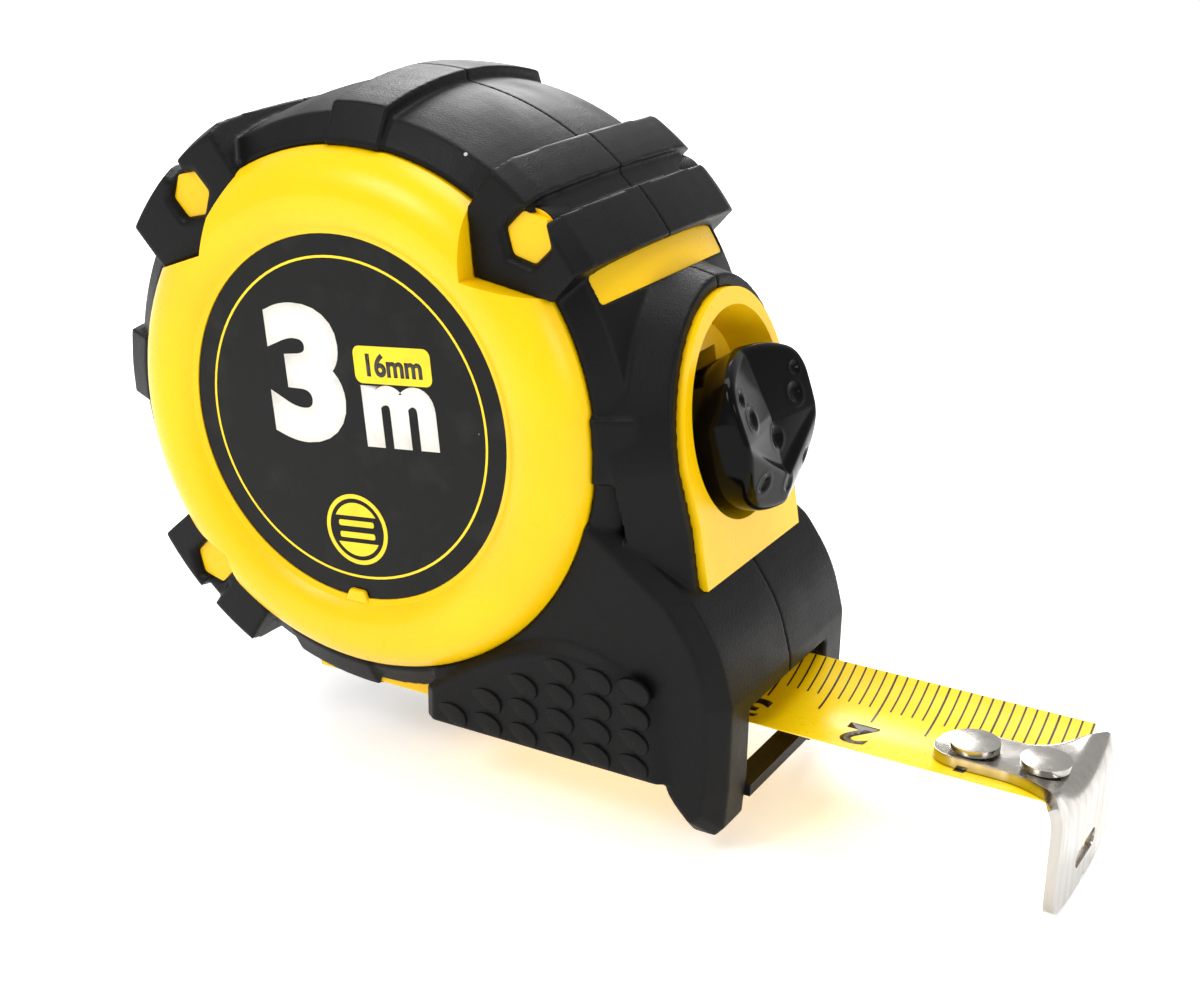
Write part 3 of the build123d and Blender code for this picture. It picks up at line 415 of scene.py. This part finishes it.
def yellow_finish():
    """Glossy moulded yellow plastic, very slightly uneven."""
    finish = Finish("yellow_shell", (0.98, 0.62, 0.0), 0.3, level=0.3)
    grain = finish.group(GRAIN, Scale=1800.0, Cloud_Scale=60.0)
    deeper = (0.96, 0.53, 0.0, 1.0)
    clouds = finish.span(grain.outputs["Cloud"], 0.3, 0.75)
    finish.feed(finish.mix(clouds, finish.color, deeper), "Base Color")
    finish.feed(finish.span(grain.outputs["Height"], 0.3, 0.7, 0.26, 0.36), "Roughness")
    finish.shader.inputs["Subsurface Weight"].default_value = 0.12
    finish.shader.inputs["Subsurface Radius"].default_value = (1.0, 0.6, 0.1)
    finish.shader.inputs["Subsurface Scale"].default_value = 0.0012
    finish.bump(grain.outputs["Height"], 0.12, 0.00004)
    return finish.material


def label_finish():
    """Black printed film with faint handling marks, a fine grain and a little dust."""
    finish = Finish("label_film", (0.0028, 0.0028, 0.0026), 0.34, level=0.18)
    grain = finish.group(GRAIN, Scale=2600.0, Cloud_Scale=240.0)
    dust = finish.group(SPECKS, Scale=520.0, Size=0.06, Share=0.045)
    marks = finish.mix(finish.span(grain.outputs["Cloud"], 0.52, 0.82, 0.0, 0.5), finish.color,
                       (0.03, 0.03, 0.028, 1.0))
    finish.feed(finish.mix(dust.outputs["Mask"], marks, (0.32, 0.32, 0.3, 1.0)), "Base Color")
    finish.feed(finish.span(grain.outputs["Cloud"], 0.35, 0.75, 0.28, 0.5), "Roughness")
    finish.bump(grain.outputs["Height"], 0.1, 0.00003)
    return finish.material


def ink_finish(name, color, roughness=0.45):
    """Printing ink, with a slightly uneven cover."""
    finish = Finish(name, color, roughness)
    grain = finish.group(GRAIN, Scale=3000.0, Cloud_Scale=500.0)
    worn = tuple(0.86 * value for value in color) + (1.0,)
    finish.feed(finish.mix(finish.span(grain.outputs["Cloud"], 0.5, 0.8), finish.color, worn), "Base Color")
    finish.bump(grain.outputs["Height"], 0.08, 0.00002)
    return finish.material


def gloss_finish():
    """Polished black plastic of the lock button."""
    finish = Finish("gloss_black", (0.0012, 0.0012, 0.0014), 0.13, level=0.1)
    grain = finish.group(GRAIN, Scale=1500.0, Cloud_Scale=200.0)
    dust = finish.group(SPECKS, Scale=480.0, Size=0.06, Share=0.05)
    finish.feed(finish.mix(dust.outputs["Mask"], finish.color, (0.4, 0.4, 0.38, 1.0)), "Base Color")
    finish.feed(finish.span(grain.outputs["Cloud"], 0.3, 0.75, 0.09, 0.2), "Roughness")
    finish.bump(grain.outputs["Cloud"], 0.05, 0.00006)
    return finish.material


def plastic_finish():
    """Plain dark plastic inside the case."""
    finish = Finish("dark_plastic", (0.035, 0.035, 0.04), 0.45)
    grain = finish.group(GRAIN, Scale=2500.0, Cloud_Scale=100.0)
    finish.feed(finish.span(grain.outputs["Cloud"], 0.3, 0.7, 0.38, 0.52), "Roughness")
    finish.bump(grain.outputs["Height"], 0.15, 0.00005)
    return finish.material


def metal_finish(name, color, low_rough, high_rough, stretch=(1.0, 1.0, 1.0), grit=0.2):
    """Bare or plated metal with rubbed streaks along one direction."""
    finish = Finish(name, color, low_rough, metallic=1.0)
    tree = finish.tree
    place = tree.nodes.new("ShaderNodeTexCoord")
    turn = tree.nodes.new("ShaderNodeMapping")
    turn.inputs["Scale"].default_value = stretch
    streak = tree.nodes.new("ShaderNodeTexNoise")
    streak.inputs["Scale"].default_value = 900.0
    streak.inputs["Detail"].default_value = 5.0
    tree.links.new(place.outputs["Object"], turn.inputs["Vector"])
    tree.links.new(turn.outputs["Vector"], streak.inputs["Vector"])
    finish.feed(finish.span(streak.outputs["Fac"], 0.3, 0.7, low_rough, high_rough), "Roughness")
    dull = tuple(0.8 * value for value in color) + (1.0,)
    finish.feed(finish.mix(finish.span(streak.outputs["Fac"], 0.4, 0.75), finish.color, dull), "Base Color")
    finish.bump(streak.outputs["Fac"], grit, 0.00002)
    return finish.material


def blade_finish():
    """Yellow painted blade, slightly deeper in soft patches."""
    finish = Finish("blade_yellow", (1.0, 0.7, 0.0), 0.3, level=0.4)
    grain = finish.group(GRAIN, Scale=1400.0, Cloud_Scale=180.0)
    deeper = (1.0, 0.6, 0.0, 1.0)
    clouds = finish.span(grain.outputs["Cloud"], 0.35, 0.75)
    finish.feed(finish.mix(clouds, finish.color, deeper), "Base Color")
    finish.feed(finish.span(grain.outputs["Height"], 0.3, 0.7, 0.26, 0.36), "Roughness")
    finish.bump(grain.outputs["Height"], 0.08, 0.00002)
    return finish.material


RUBBER = rubber_finish()
YELLOW = yellow_finish()
LABEL = label_finish()
WHITE_INK = ink_finish("white_ink", (0.86, 0.85, 0.8))
YELLOW_INK = ink_finish("yellow_ink", (0.95, 0.68, 0.0))
BLACK_INK = ink_finish("black_ink", (0.012, 0.01, 0.006), 0.35)
GLOSS = gloss_finish()
PLASTIC = plastic_finish()
BLADE = blade_finish()
HOOK_STEEL = metal_finish("hook_steel", (0.5, 0.475, 0.44), 0.14, 0.3, (1.0, 1.0, 0.12), 0.35)
CLIP_STEEL = metal_finish("clip_steel", (0.62, 0.62, 0.62), 0.14, 0.26, (1.0, 1.0, 0.2))
STEEL = metal_finish("steel", (0.5, 0.5, 0.5), 0.25, 0.42)
SPRING = metal_finish("spring_steel", (0.24, 0.26, 0.3), 0.25, 0.4, (1.0, 1.0, 0.3))
SLOT_FINISH = {
    "yellow_shell": YELLOW, "black_rubber": RUBBER, "label": LABEL, "gloss_black": GLOSS,
    "dark_plastic": PLASTIC, "blade": BLADE, "hook_steel": HOOK_STEEL, "clip_steel": CLIP_STEEL,
    "steel": STEEL, "spring_steel": SPRING,
}


def dress_nodes():
    """Gives every CAD node the finish of its slot."""
    for part in frame["record"]["subparts"]:
        mesh = nodes[part["node"]].data
        mesh.materials.clear()
        mesh.materials.append(SLOT_FINISH[part["material_slot"]])


# ---- rubber jacket ----
JACKET_VOXEL = 0.19
JACKET_ROUNDS = 4
JACKET_KEEP = 0.3
JACKET_SMOOTH = 60


def jackets():
    """Both halves of the rubber jacket, softened as moulded rubber is."""
    for side in ("left", "right"):
        jacket = moulded(side + "_jacket", side + "_jacket_rubber", JACKET_VOXEL, JACKET_ROUNDS)
        modify(jacket, "DECIMATE", ratio=JACKET_KEEP)
        smooth(jacket, JACKET_SMOOTH)
        finish_piece(jacket, "case", RUBBER, [side + "_jacket"])


# ---- shapes used by several pieces ----
# Lays a cylinder's axis across the case.
ACROSS = (math.radians(90), 0, 0)


def grid_piece(name, columns, rows, shape):
    """A grid whose points shape(u, v) places, in millimetres, with u and v from 0 to 1."""
    deselect()
    bpy.ops.mesh.primitive_grid_add(x_subdivisions=columns, y_subdivisions=rows, size=2.0)
    piece = named(name)
    for point in piece.data.vertices:
        point.co = at(*shape((point.co.x + 1) / 2, (point.co.y + 1) / 2))
    return piece


def cylinder(name, place, radius, length, sides):
    """A cylinder in millimetres about its middle, with its axis across the case."""
    deselect()
    bpy.ops.mesh.primitive_cylinder_add(
        vertices=sides, radius=radius * MM, depth=length * MM, location=at(*place), rotation=ACROSS)
    return settle(named(name))


def box_piece(name, place, size, turn=(0, 0, 0)):
    """A block in millimetres about its middle."""
    deselect()
    bpy.ops.mesh.primitive_cube_add(size=1.0, location=at(*place), rotation=turn)
    piece = named(name)
    piece.scale = [value * MM for value in size]
    return settle(piece)


def cut(piece, tool):
    """Takes a tool's shape out of a piece and throws the tool away."""
    modify(piece, "BOOLEAN", operation="DIFFERENCE", object=tool, solver="EXACT")
    bpy.data.objects.remove(tool)
    return piece


def rounded(piece, width, segments=2, angle=30):
    """Bevels the sharp edges of a piece."""
    modify(piece, "BEVEL", width=width * MM, segments=segments, limit_method="ANGLE",
           angle_limit=math.radians(angle))
    return smooth(piece)


def lettering(name, words, height, place, turn, weight, depth, wide):
    """Figures as a mesh: height in millimetres, weight thickens the strokes."""
    deselect()
    bpy.ops.object.text_add()
    text = bpy.context.object
    text.data.body = words
    text.data.align_x = "CENTER"
    text.data.align_y = "CENTER"
    text.data.offset = weight
    text.data.resolution_u = 6
    bpy.ops.object.convert(target="MESH")
    piece = named(name)
    heights = [point.co.y for point in piece.data.vertices]
    tall = max(heights) - min(heights)
    middle = (max(heights) + min(heights)) / 2
    for point in piece.data.vertices:
        point.co.y -= middle
    piece.scale = (wide * height * MM / tall, height * MM / tall, 1.0)
    settle(piece)
    edit(piece)
    bpy.ops.mesh.dissolve_limited(angle_limit=0.01)
    bpy.ops.mesh.quads_convert_to_tris()
    bpy.ops.mesh.extrude_region_move(TRANSFORM_OT_translate={"value": (0, 0, depth * MM)})
    bpy.ops.mesh.select_all(action="SELECT")
    bpy.ops.mesh.normals_make_consistent(inside=False)
    close_edit()
    piece.rotation_euler = turn
    piece.location = at(*place)
    return settle(piece)


# ---- printed label ----
LABEL_Y = low("left_label").y
PRINT_TILT = math.radians(6.5)
FACING = (math.radians(90), -PRINT_TILT, 0)
PRINT_LIFT = 0.01
PRINT_T = 0.03
INK_T = 0.02
RING_SIDES = 96
EMBLEM_R = 3.1
CAP_R = 2.5
BAR_BAND = 2.5
BAR_WIDE = 3.8
BAR_TALL = 0.55
BAR_RISE = 0.55


def printed(piece, material):
    """A finished piece of the label's print."""
    finish_piece(piece, "case", material)


def flat_ring(name, x, z, radius, width, material):
    """A printed line round a point of the label."""
    outer = cylinder(name, (x, LABEL_Y - PRINT_LIFT, z), radius + width / 2, PRINT_T, RING_SIDES)
    inner = cylinder("tool", (x, LABEL_Y - PRINT_LIFT, z), radius - width / 2, 1.0, RING_SIDES)
    printed(cut(outer, inner), material)


def print_block(name, x, z, wide, tall, corner, material):
    """A printed patch with round corners."""
    deselect()
    bpy.ops.mesh.primitive_plane_add(size=1.0)
    patch = named(name)
    patch.scale = (wide * MM, tall * MM, 1.0)
    settle(patch)
    modify(patch, "BEVEL", affect="VERTICES", width=corner * MM, segments=6)
    modify(patch, "SOLIDIFY", thickness=INK_T * MM, offset=1.0)
    patch.rotation_euler = FACING
    patch.location = at(x, LABEL_Y - PRINT_LIFT, z)
    printed(settle(patch), material)


def emblem(x, z):
    """A plain round mark: a ring, and two bars between two caps."""
    flat_ring("emblem_ring", x, z, EMBLEM_R, 0.4, YELLOW_INK)
    disc = cylinder("emblem_caps", (x, LABEL_Y - PRINT_LIFT, z), CAP_R, PRINT_T, 64)
    band = box_piece("tool", (x, LABEL_Y, z), (6.0, 1.0, BAR_BAND), (0, -PRINT_TILT, 0))
    printed(cut(disc, band), YELLOW_INK)
    for rise in (-BAR_RISE, BAR_RISE):
        print_block("emblem_bar", x - rise * math.sin(PRINT_TILT), z + rise * math.cos(PRINT_TILT),
                    BAR_WIDE, BAR_TALL, 0.2, YELLOW_INK)


def label_print():
    """Length, width and plain marks on the -Y label; the figures are the blade's own sizes."""
    y = LABEL_Y - PRINT_LIFT + INK_T
    patch_x, patch_z = 5.0, 5.8
    length = lettering("length_figure", "3", 12.6, (-4.2, y, 3.6), FACING, 0.055, INK_T, 1.12)
    printed(length, WHITE_INK)
    metres = lettering("metre_sign", "m", 5.6, (5.7, y, 1.3), FACING, 0.05, INK_T, 1.0)
    printed(metres, WHITE_INK)
    flat_ring("label_circle", 0, 0, 14.5, 0.22, YELLOW_INK)
    print_block("width_patch", patch_x, patch_z, 8.0, 3.3, 0.7, YELLOW_INK)
    over_patch = (patch_x, y - PRINT_T, patch_z)
    width = lettering("width_figure", "16mm", 2.1, over_patch, FACING, 0.035, INK_T, 0.92)
    printed(width, BLACK_INK)
    emblem(0.8, -10.0)


# ---- key of the ring ----
KEY_X = 0.8
KEY_Z = -16.3
KEY_SIZE = (2.6, 0.7, 1.2)
KEY_TOP_SHARE = 0.6


def key_bump():
    """The small stop of the ring that keys each label, at the bottom; its top is narrower."""
    for name, side in (("left_key", -1), ("right_key", 1)):
        place = (KEY_X, side * (-LABEL_Y + 0.1), KEY_Z)
        key = box_piece(name, place, KEY_SIZE)
        middle = at(*place)
        for point in key.data.vertices:
            if point.co.z > middle.z:
                point.co.x = middle.x + (point.co.x - middle.x) * KEY_TOP_SHARE
        rounded(key, 0.22, 4)
        finish_piece(key, "case", YELLOW)


# ---- rubber over the front screw bosses ----
BOSS_REACH = 25.4
BOSS_ANGLE = math.radians(45.9)
COVER_R = 2.46
COVER_BORE = 2.1
COVER_Y = 11.2
COVER_T = 3.1


def boss_covers():
    """The jacket's rubber round the front claws' screw bosses, where the groove passes over them."""
    x, z = BOSS_REACH * math.cos(BOSS_ANGLE), BOSS_REACH * math.sin(BOSS_ANGLE)
    for name, side in (("left_boss_cover", -1), ("right_boss_cover", 1)):
        cover = cylinder(name, (x, side * COVER_Y, z), COVER_R, COVER_T, 40)
        bore = cylinder("tool", (x, side * COVER_Y, z), COVER_BORE, 2 * COVER_T, 40)
        rounded(cut(cover, bore), 0.12, 2)
        finish_piece(cover, "case", RUBBER)


# ---- finger grip ----
GRIP_Y = 14.2
SCALE_STEP = (3.67, 2.37)
SCALE_LAST = (28.3, -19.2)
SCALE_ROWS = (3, 4, 5, 6)
SCALE_T = 0.5
SCALE_STRETCH = (1.75, 1.0, 1.3, 1.0)
SCALE_LEAN = math.radians(5.5)
SCALE_SUNK = 0.18
GRIP_FOOT = -27.1


def leaning_scale(side):
    """One scale about the origin: an oval disc, proud at its upper front edge."""
    scale = cylinder("scale", (0, 0, 0), 1.0, SCALE_T, 26)
    scale.data.transform(Matrix.Translation(-REEL))
    scale.data.transform(Matrix.Diagonal(SCALE_STRETCH))
    scale.data.transform(Matrix.Rotation(-side * SCALE_LEAN, 4, Vector((1.0, 0.0, 0.0))))
    scale.data.transform(Matrix.Rotation(side * SCALE_LEAN, 4, Vector((0.0, 0.0, 1.0))))
    return scale


def grip_scales():
    """Rows of overlapping scales on both grip panels, each a copy of one."""
    for name, side in (("left_grip_scales", -1), ("right_grip_scales", 1)):
        pattern = leaning_scale(side)
        scales = []
        for row, count in enumerate(SCALE_ROWS):
            for column in range(count):
                x = SCALE_LAST[0] - column * SCALE_STEP[0]
                z = SCALE_LAST[1] - row * SCALE_STEP[1]
                scale = copy_of(pattern, "scale")
                scale.data.transform(Matrix.Translation(at(x, side * (GRIP_Y - SCALE_SUNK), z)))
                scales.append(scale)
        bpy.data.objects.remove(pattern)
        scales = join(scales, name)
        edit(scales)
        bpy.ops.mesh.bisect(plane_co=at(0, 0, GRIP_FOOT), plane_no=(0, 0, 1), clear_inner=True, use_fill=True)
        close_edit()
        rounded(scales, 0.1, 2, 50)
        finish_piece(scales, "case", RUBBER)


# ---- thumb button ----
TILT = math.radians(9.4)
RIM_X = 30.5
PAD_HALF = ((0.0, 7.6), (3.4, 7.3), (6.1, 6.35), (7.15, 4.9), (7.3, 3.0), (7.1, 0.4), (6.5, -2.1),
            (5.2, -4.3), (2.9, -5.85), (0.0, -6.25))
PAD_MIDDLE = 0.9
PAD_BACK = 0.65
PAD_EDGE = 0.7
NECK_END = -2.8
NECK_RINGS = 7
POCKET_SLOPE = math.tan(math.radians(24.0))
POCKET_MOUTH = 0.35
POCKET_HALF = 8.7
POCKET_TALL = 9.275
POCKET_TOP = 11.3
POCKET_GAP = 0.32
LOCK_TRAVEL = 3.6
# Slopes of the hollow: a height up the front, how far out the slope stands there, its gradient.
VALLEY_UPPER = (5.35, 2.0, 0.346)
VALLEY_LOWER = (1.8, 3.22, 0.148)
WING = (5.3, 3.6, 0.2)
CREASE_UP = 1.8
WING_FOOT = 1.0
PAD_WIDE = 7.2
LIP_UP = -2.6
LIP_SLOPE = 0.56
LIP_RUN = 1.2
LIP_OUT = 4.5
LIP_FALL = 0.06
DIMPLE_DEEP = 0.26
DIMPLE_RIM = 0.05
# Each dimple: across, up the front, radius.
DIMPLES = ((4.3, 2.65, 0.75), (-4.3, 2.65, 0.75), (0.0, -0.1, 0.75), (5.3, 4.6, 0.5), (-5.3, 4.6, 0.5),
           (4.1, -3.0, 0.65), (-4.1, -3.0, 0.65), (0.0, -4.2, 0.65))
PAD_RAYS = 180
PAD_RINGS = 40


def on_front(y, up, out):
    """A place on the housing's leaning front: across, up the slope and out of it."""
    return (RIM_X - up * math.sin(TILT) + out * math.cos(TILT), y, up * math.cos(TILT) + out * math.sin(TILT))


def spline_point(points, where):
    """A point of a smooth closed line through points, where runs once round from 0 to 1."""
    count = len(points)
    place = where * count
    first = int(place) % count
    part = place - int(place)
    a, b, c, d = (points[(first + step) % count] for step in (-1, 0, 1, 2))
    return tuple(0.5 * (2 * b[k] + (c[k] - a[k]) * part + (2 * a[k] - 5 * b[k] + 4 * c[k] - d[k]) * part ** 2
                        + (3 * b[k] - a[k] - 3 * c[k] + d[k]) * part ** 3) for k in (0, 1))


def ellipse_reach(y, up, half, tall, middle):
    """How far a ray from the pad's middle goes before it leaves a pocket-shaped oval."""
    rise = PAD_MIDDLE - middle
    a = (y / half) ** 2 + (up / tall) ** 2
    b = 2 * up * rise / tall ** 2
    c = (rise / tall) ** 2 - 1
    return (-b + math.sqrt(b * b - 4 * a * c)) / (2 * a)


def slope_out(line, up):
    """How far out a straight slope stands at a height up the front."""
    height, out, slope = line
    return out + slope * (height - up)


def pad_front(y, up):
    """Depth of the thumb's hollow: a creased trough over a round lip, with dimples."""
    valley = slope_out(VALLEY_UPPER if up > CREASE_UP else VALLEY_LOWER, up)
    wing = slope_out(WING, max(up, WING_FOOT))
    out = valley + (wing - valley) * abs(y) / PAD_WIDE
    under = (LIP_UP + LIP_SLOPE * abs(y)) - up
    if under > 0:
        step = min(under / LIP_RUN, 1.0)
        step = step * step * (3 - 2 * step)
        out += (LIP_OUT - out) * step - LIP_FALL * under ** 2
    for across, height, radius in DIMPLES:
        gone = math.hypot(y - across, up - height) / radius
        out -= DIMPLE_DEEP * math.exp(-gone ** 4) - DIMPLE_RIM * math.exp(-((gone - 1.3) / 0.35) ** 2)
    return out


def thumb_button():
    """The whole button: side walls that follow the pocket, a rounded edge and a dimpled hollow."""
    right = list(PAD_HALF)
    outline = right + [(-y, up) for y, up in reversed(right[1:-1])]
    rim = [spline_point(outline, ray / PAD_RAYS) for ray in range(PAD_RAYS)]
    rings = []
    for step in range(NECK_RINGS):
        out = NECK_END + (PAD_BACK - NECK_END) * step / (NECK_RINGS - 1)
        shrink = max(POCKET_MOUTH - out, 0.0) * POCKET_SLOPE + POCKET_GAP
        half, tall = POCKET_HALF - shrink, POCKET_TALL - shrink
        middle = POCKET_TOP - POCKET_TALL
        ring = []
        for y, up in rim:
            up -= PAD_MIDDLE
            reach = 1.0
            if out < PAD_BACK:
                reach = min(reach, ellipse_reach(y, up, half, tall, middle),
                            ellipse_reach(y, up, half, tall, middle - LOCK_TRAVEL))
            ring.append((y * reach, PAD_MIDDLE + up * reach, out))
        rings.append(ring)
    for step in range(PAD_RINGS):
        share = 1.0 - (step / PAD_RINGS) ** 1.25
        ring = []
        for y, up in rim:
            span = math.hypot(y, up - PAD_MIDDLE)
            inside = span * (1.0 - share)
            inner_y, inner_up = y * share, PAD_MIDDLE + (up - PAD_MIDDLE) * share
            out = pad_front(inner_y, inner_up)
            if inside < PAD_EDGE:
                out -= PAD_EDGE - math.sqrt(PAD_EDGE ** 2 - (PAD_EDGE - inside) ** 2)
            ring.append((inner_y, inner_up, out))
        rings.append(ring)
    last = len(rings) - 1

    def shape(u, v):
        return on_front(*rings[round(v * last)][round(u * PAD_RAYS) % PAD_RAYS])
    piece = grid_piece("thumb_button", PAD_RAYS, last, shape)
    edit(piece)
    bpy.ops.mesh.remove_doubles(threshold=MERGE_GAP / 4)
    bpy.ops.mesh.select_all(action="DESELECT")
    bpy.ops.mesh.select_mode(type="VERT")
    bpy.ops.mesh.select_non_manifold()
    bpy.ops.mesh.edge_face_add()
    bpy.ops.mesh.select_all(action="SELECT")
    bpy.ops.mesh.normals_make_consistent(inside=False)
    close_edit()
    smooth(piece, 50)
    finish_piece(piece, "lock", GLOSS, ["lock_button"])


# ---- blade ----
BLADE_R = 14.0
EDGE = high("tape_blade").y - 0.08
CURVE_Z = low("tape_blade").z + 0.15 + BLADE_R
ZERO_X = high("end_hook").x
BLADE_BACK = low("tape_blade").x
INK_LIFT = 0.012
NUMBER_TALL = 4.4
NUMBER_DOWN = 8.9
FOLD_STEP = 0.5


def on_blade(y):
    """Height of the blade's upper face at a distance from its middle."""
    return CURVE_Z - math.sqrt(BLADE_R ** 2 - y ** 2)


def blade_mark(reach, half):
    """One line of the scale at the blade's zero, bent to the blade's hollow."""
    def shape(u, v):
        y = EDGE - reach * v
        return (ZERO_X + half * (2 * u - 1), y, on_blade(y) + INK_LIFT)
    return grid_piece("mark", 1, 10, shape)


def blade_marks(last):
    """A line at every millimetre from the second on, longer at every fifth; all are copies of two."""
    short, long = blade_mark(4.0, 0.085), blade_mark(6.0, 0.1)
    marks = []
    for number in range(2, last + 1):
        mark = copy_of(short if number % 5 else long, "mark")
        mark.data.transform(Matrix.Translation(Vector((-number * MM, 0.0, 0.0))))
        marks.append(mark)
    bpy.data.objects.remove(short)
    bpy.data.objects.remove(long)
    return join(marks, "blade_marks")


def blade_number(number):
    """A centimetre's number, bent to the blade's hollow; it reads from the far edge."""
    middle = EDGE - NUMBER_DOWN
    piece = lettering("number", str(number), NUMBER_TALL, (ZERO_X - 10 * number - 0.2, middle, 0),
                      (0, 0, math.radians(180)), 0.035, 0.01, 0.95)
    for fold in range(-4, 5):
        edit(piece)
        bpy.ops.mesh.bisect(plane_co=at(0, middle + FOLD_STEP * fold, 0), plane_no=(0, 1, 0))
    close_edit()
    for point in piece.data.vertices:
        across = (point.co.y - REEL.y) / MM
        point.co.z += (on_blade(across) + INK_LIFT) * MM
    return piece


def blade_scale():
    """Every line and number of the scale, between the hook and the blade's inner end."""
    last = int(ZERO_X - BLADE_BACK)
    finish_piece(blade_marks(last), "blade", BLACK_INK)
    numbers = join([blade_number(number) for number in range(1, last // 10 + 1)], "blade_numbers")
    finish_piece(numbers, "blade", BLACK_INK)


# ---- hook ----
HOOK_T = 0.9
TONGUE_TIP = low("end_hook").x
HOOK_FOOT = low("end_hook").z
HOOK_HALF = high("end_hook").y - 0.05
HOOK_GAP = 0.1
HOOK_CORNER = 1.2
BEND = 2.0
TONGUE_HALF = 2.8
TIP_HALF = 0.02
FLARE_START = 6.4
FLARE_RUN = ZERO_X - TONGUE_TIP - 7.2
FLARE_POWER = 2.2
HOLLOW_KEPT = 0.35
TOP_RUN = ZERO_X - HOOK_T / 2 - BEND - TONGUE_TIP
BEND_RUN = BEND * math.pi / 2
DROP = (CURVE_Z - BLADE_R + HOOK_T / 2 + HOOK_GAP) - BEND - HOOK_FOOT
WHOLE_RUN = TOP_RUN + BEND_RUN + DROP
NAIL_Y = 1.0


def hook_half(run):
    """Half width of the hook's sheet, at a run from the tongue's tip."""
    if run < TONGUE_HALF:
        return math.sqrt(max(TONGUE_HALF ** 2 - (TONGUE_HALF - run) ** 2, 0.0)) + TIP_HALF
    flare = min(max((run - FLARE_START) / FLARE_RUN, 0.0), 1.0)
    return TONGUE_HALF + (HOOK_HALF - TONGUE_HALF) * flare ** FLARE_POWER


def hook_sheet(u, v):
    """The middle of the hook's sheet: hollow along the blade, then bent down."""
    run = u * WHOLE_RUN
    half = hook_half(min(run, TOP_RUN + BEND_RUN))
    corner = run - (WHOLE_RUN - HOOK_CORNER)
    if corner > 0:
        half -= HOOK_CORNER - math.sqrt(max(HOOK_CORNER ** 2 - corner ** 2, 0.0))
    y = half * (2 * v - 1)
    hollow = on_blade(y) - on_blade(0)
    base = on_blade(0) + HOOK_T / 2 + HOOK_GAP
    if run < TOP_RUN:
        return (TONGUE_TIP + run, y, base + hollow)
    bent = min((run - TOP_RUN) / BEND_RUN, 1.0)
    angle = bent * math.pi / 2
    past = max(run - TOP_RUN - BEND_RUN, 0.0)
    share = HOLLOW_KEPT + (1 - HOLLOW_KEPT) * (1.0 - bent ** 2)
    return (TONGUE_TIP + TOP_RUN + BEND * math.sin(angle),
            y, base - BEND * (1 - math.cos(angle)) - past + hollow * share)


def end_hook():
    """The plated hook: one bent sheet, slotted for a nail and nicked in the middle of its foot."""
    sheet = grid_piece("hook_sheet", 90, 28, hook_sheet)
    modify(sheet, "SOLIDIFY", thickness=HOOK_T * MM, offset=0.0)
    x = ZERO_X - HOOK_T / 2
    slot = box_piece("tool", (x, NAIL_Y, HOOK_FOOT + 3.0), (4, 5.6, 1.7))
    rounded(slot, 0.8, 5)
    cut(sheet, slot)
    cut(sheet, box_piece("tool", (x, NAIL_Y, HOOK_FOOT), (4, 0.9, 0.9), (math.radians(45), 0, 0)))
    rounded(sheet, 0.12, 2, 40)
    finish_piece(sheet, "hook", HOOK_STEEL, ["end_hook"])


def rivets():
    """The rivets' heads, with round edges."""
    heads = rounded(merged_copy("hook_rivets", "hook_rivet_heads"), 0.14, 3)
    finish_piece(heads, "blade", HOOK_STEEL, ["hook_rivets"])


add_studio()
dress_nodes()
jackets()
key_bump()
boss_covers()
grip_scales()
thumb_button()
label_print()
blade_scale()
end_hook()
rivets()
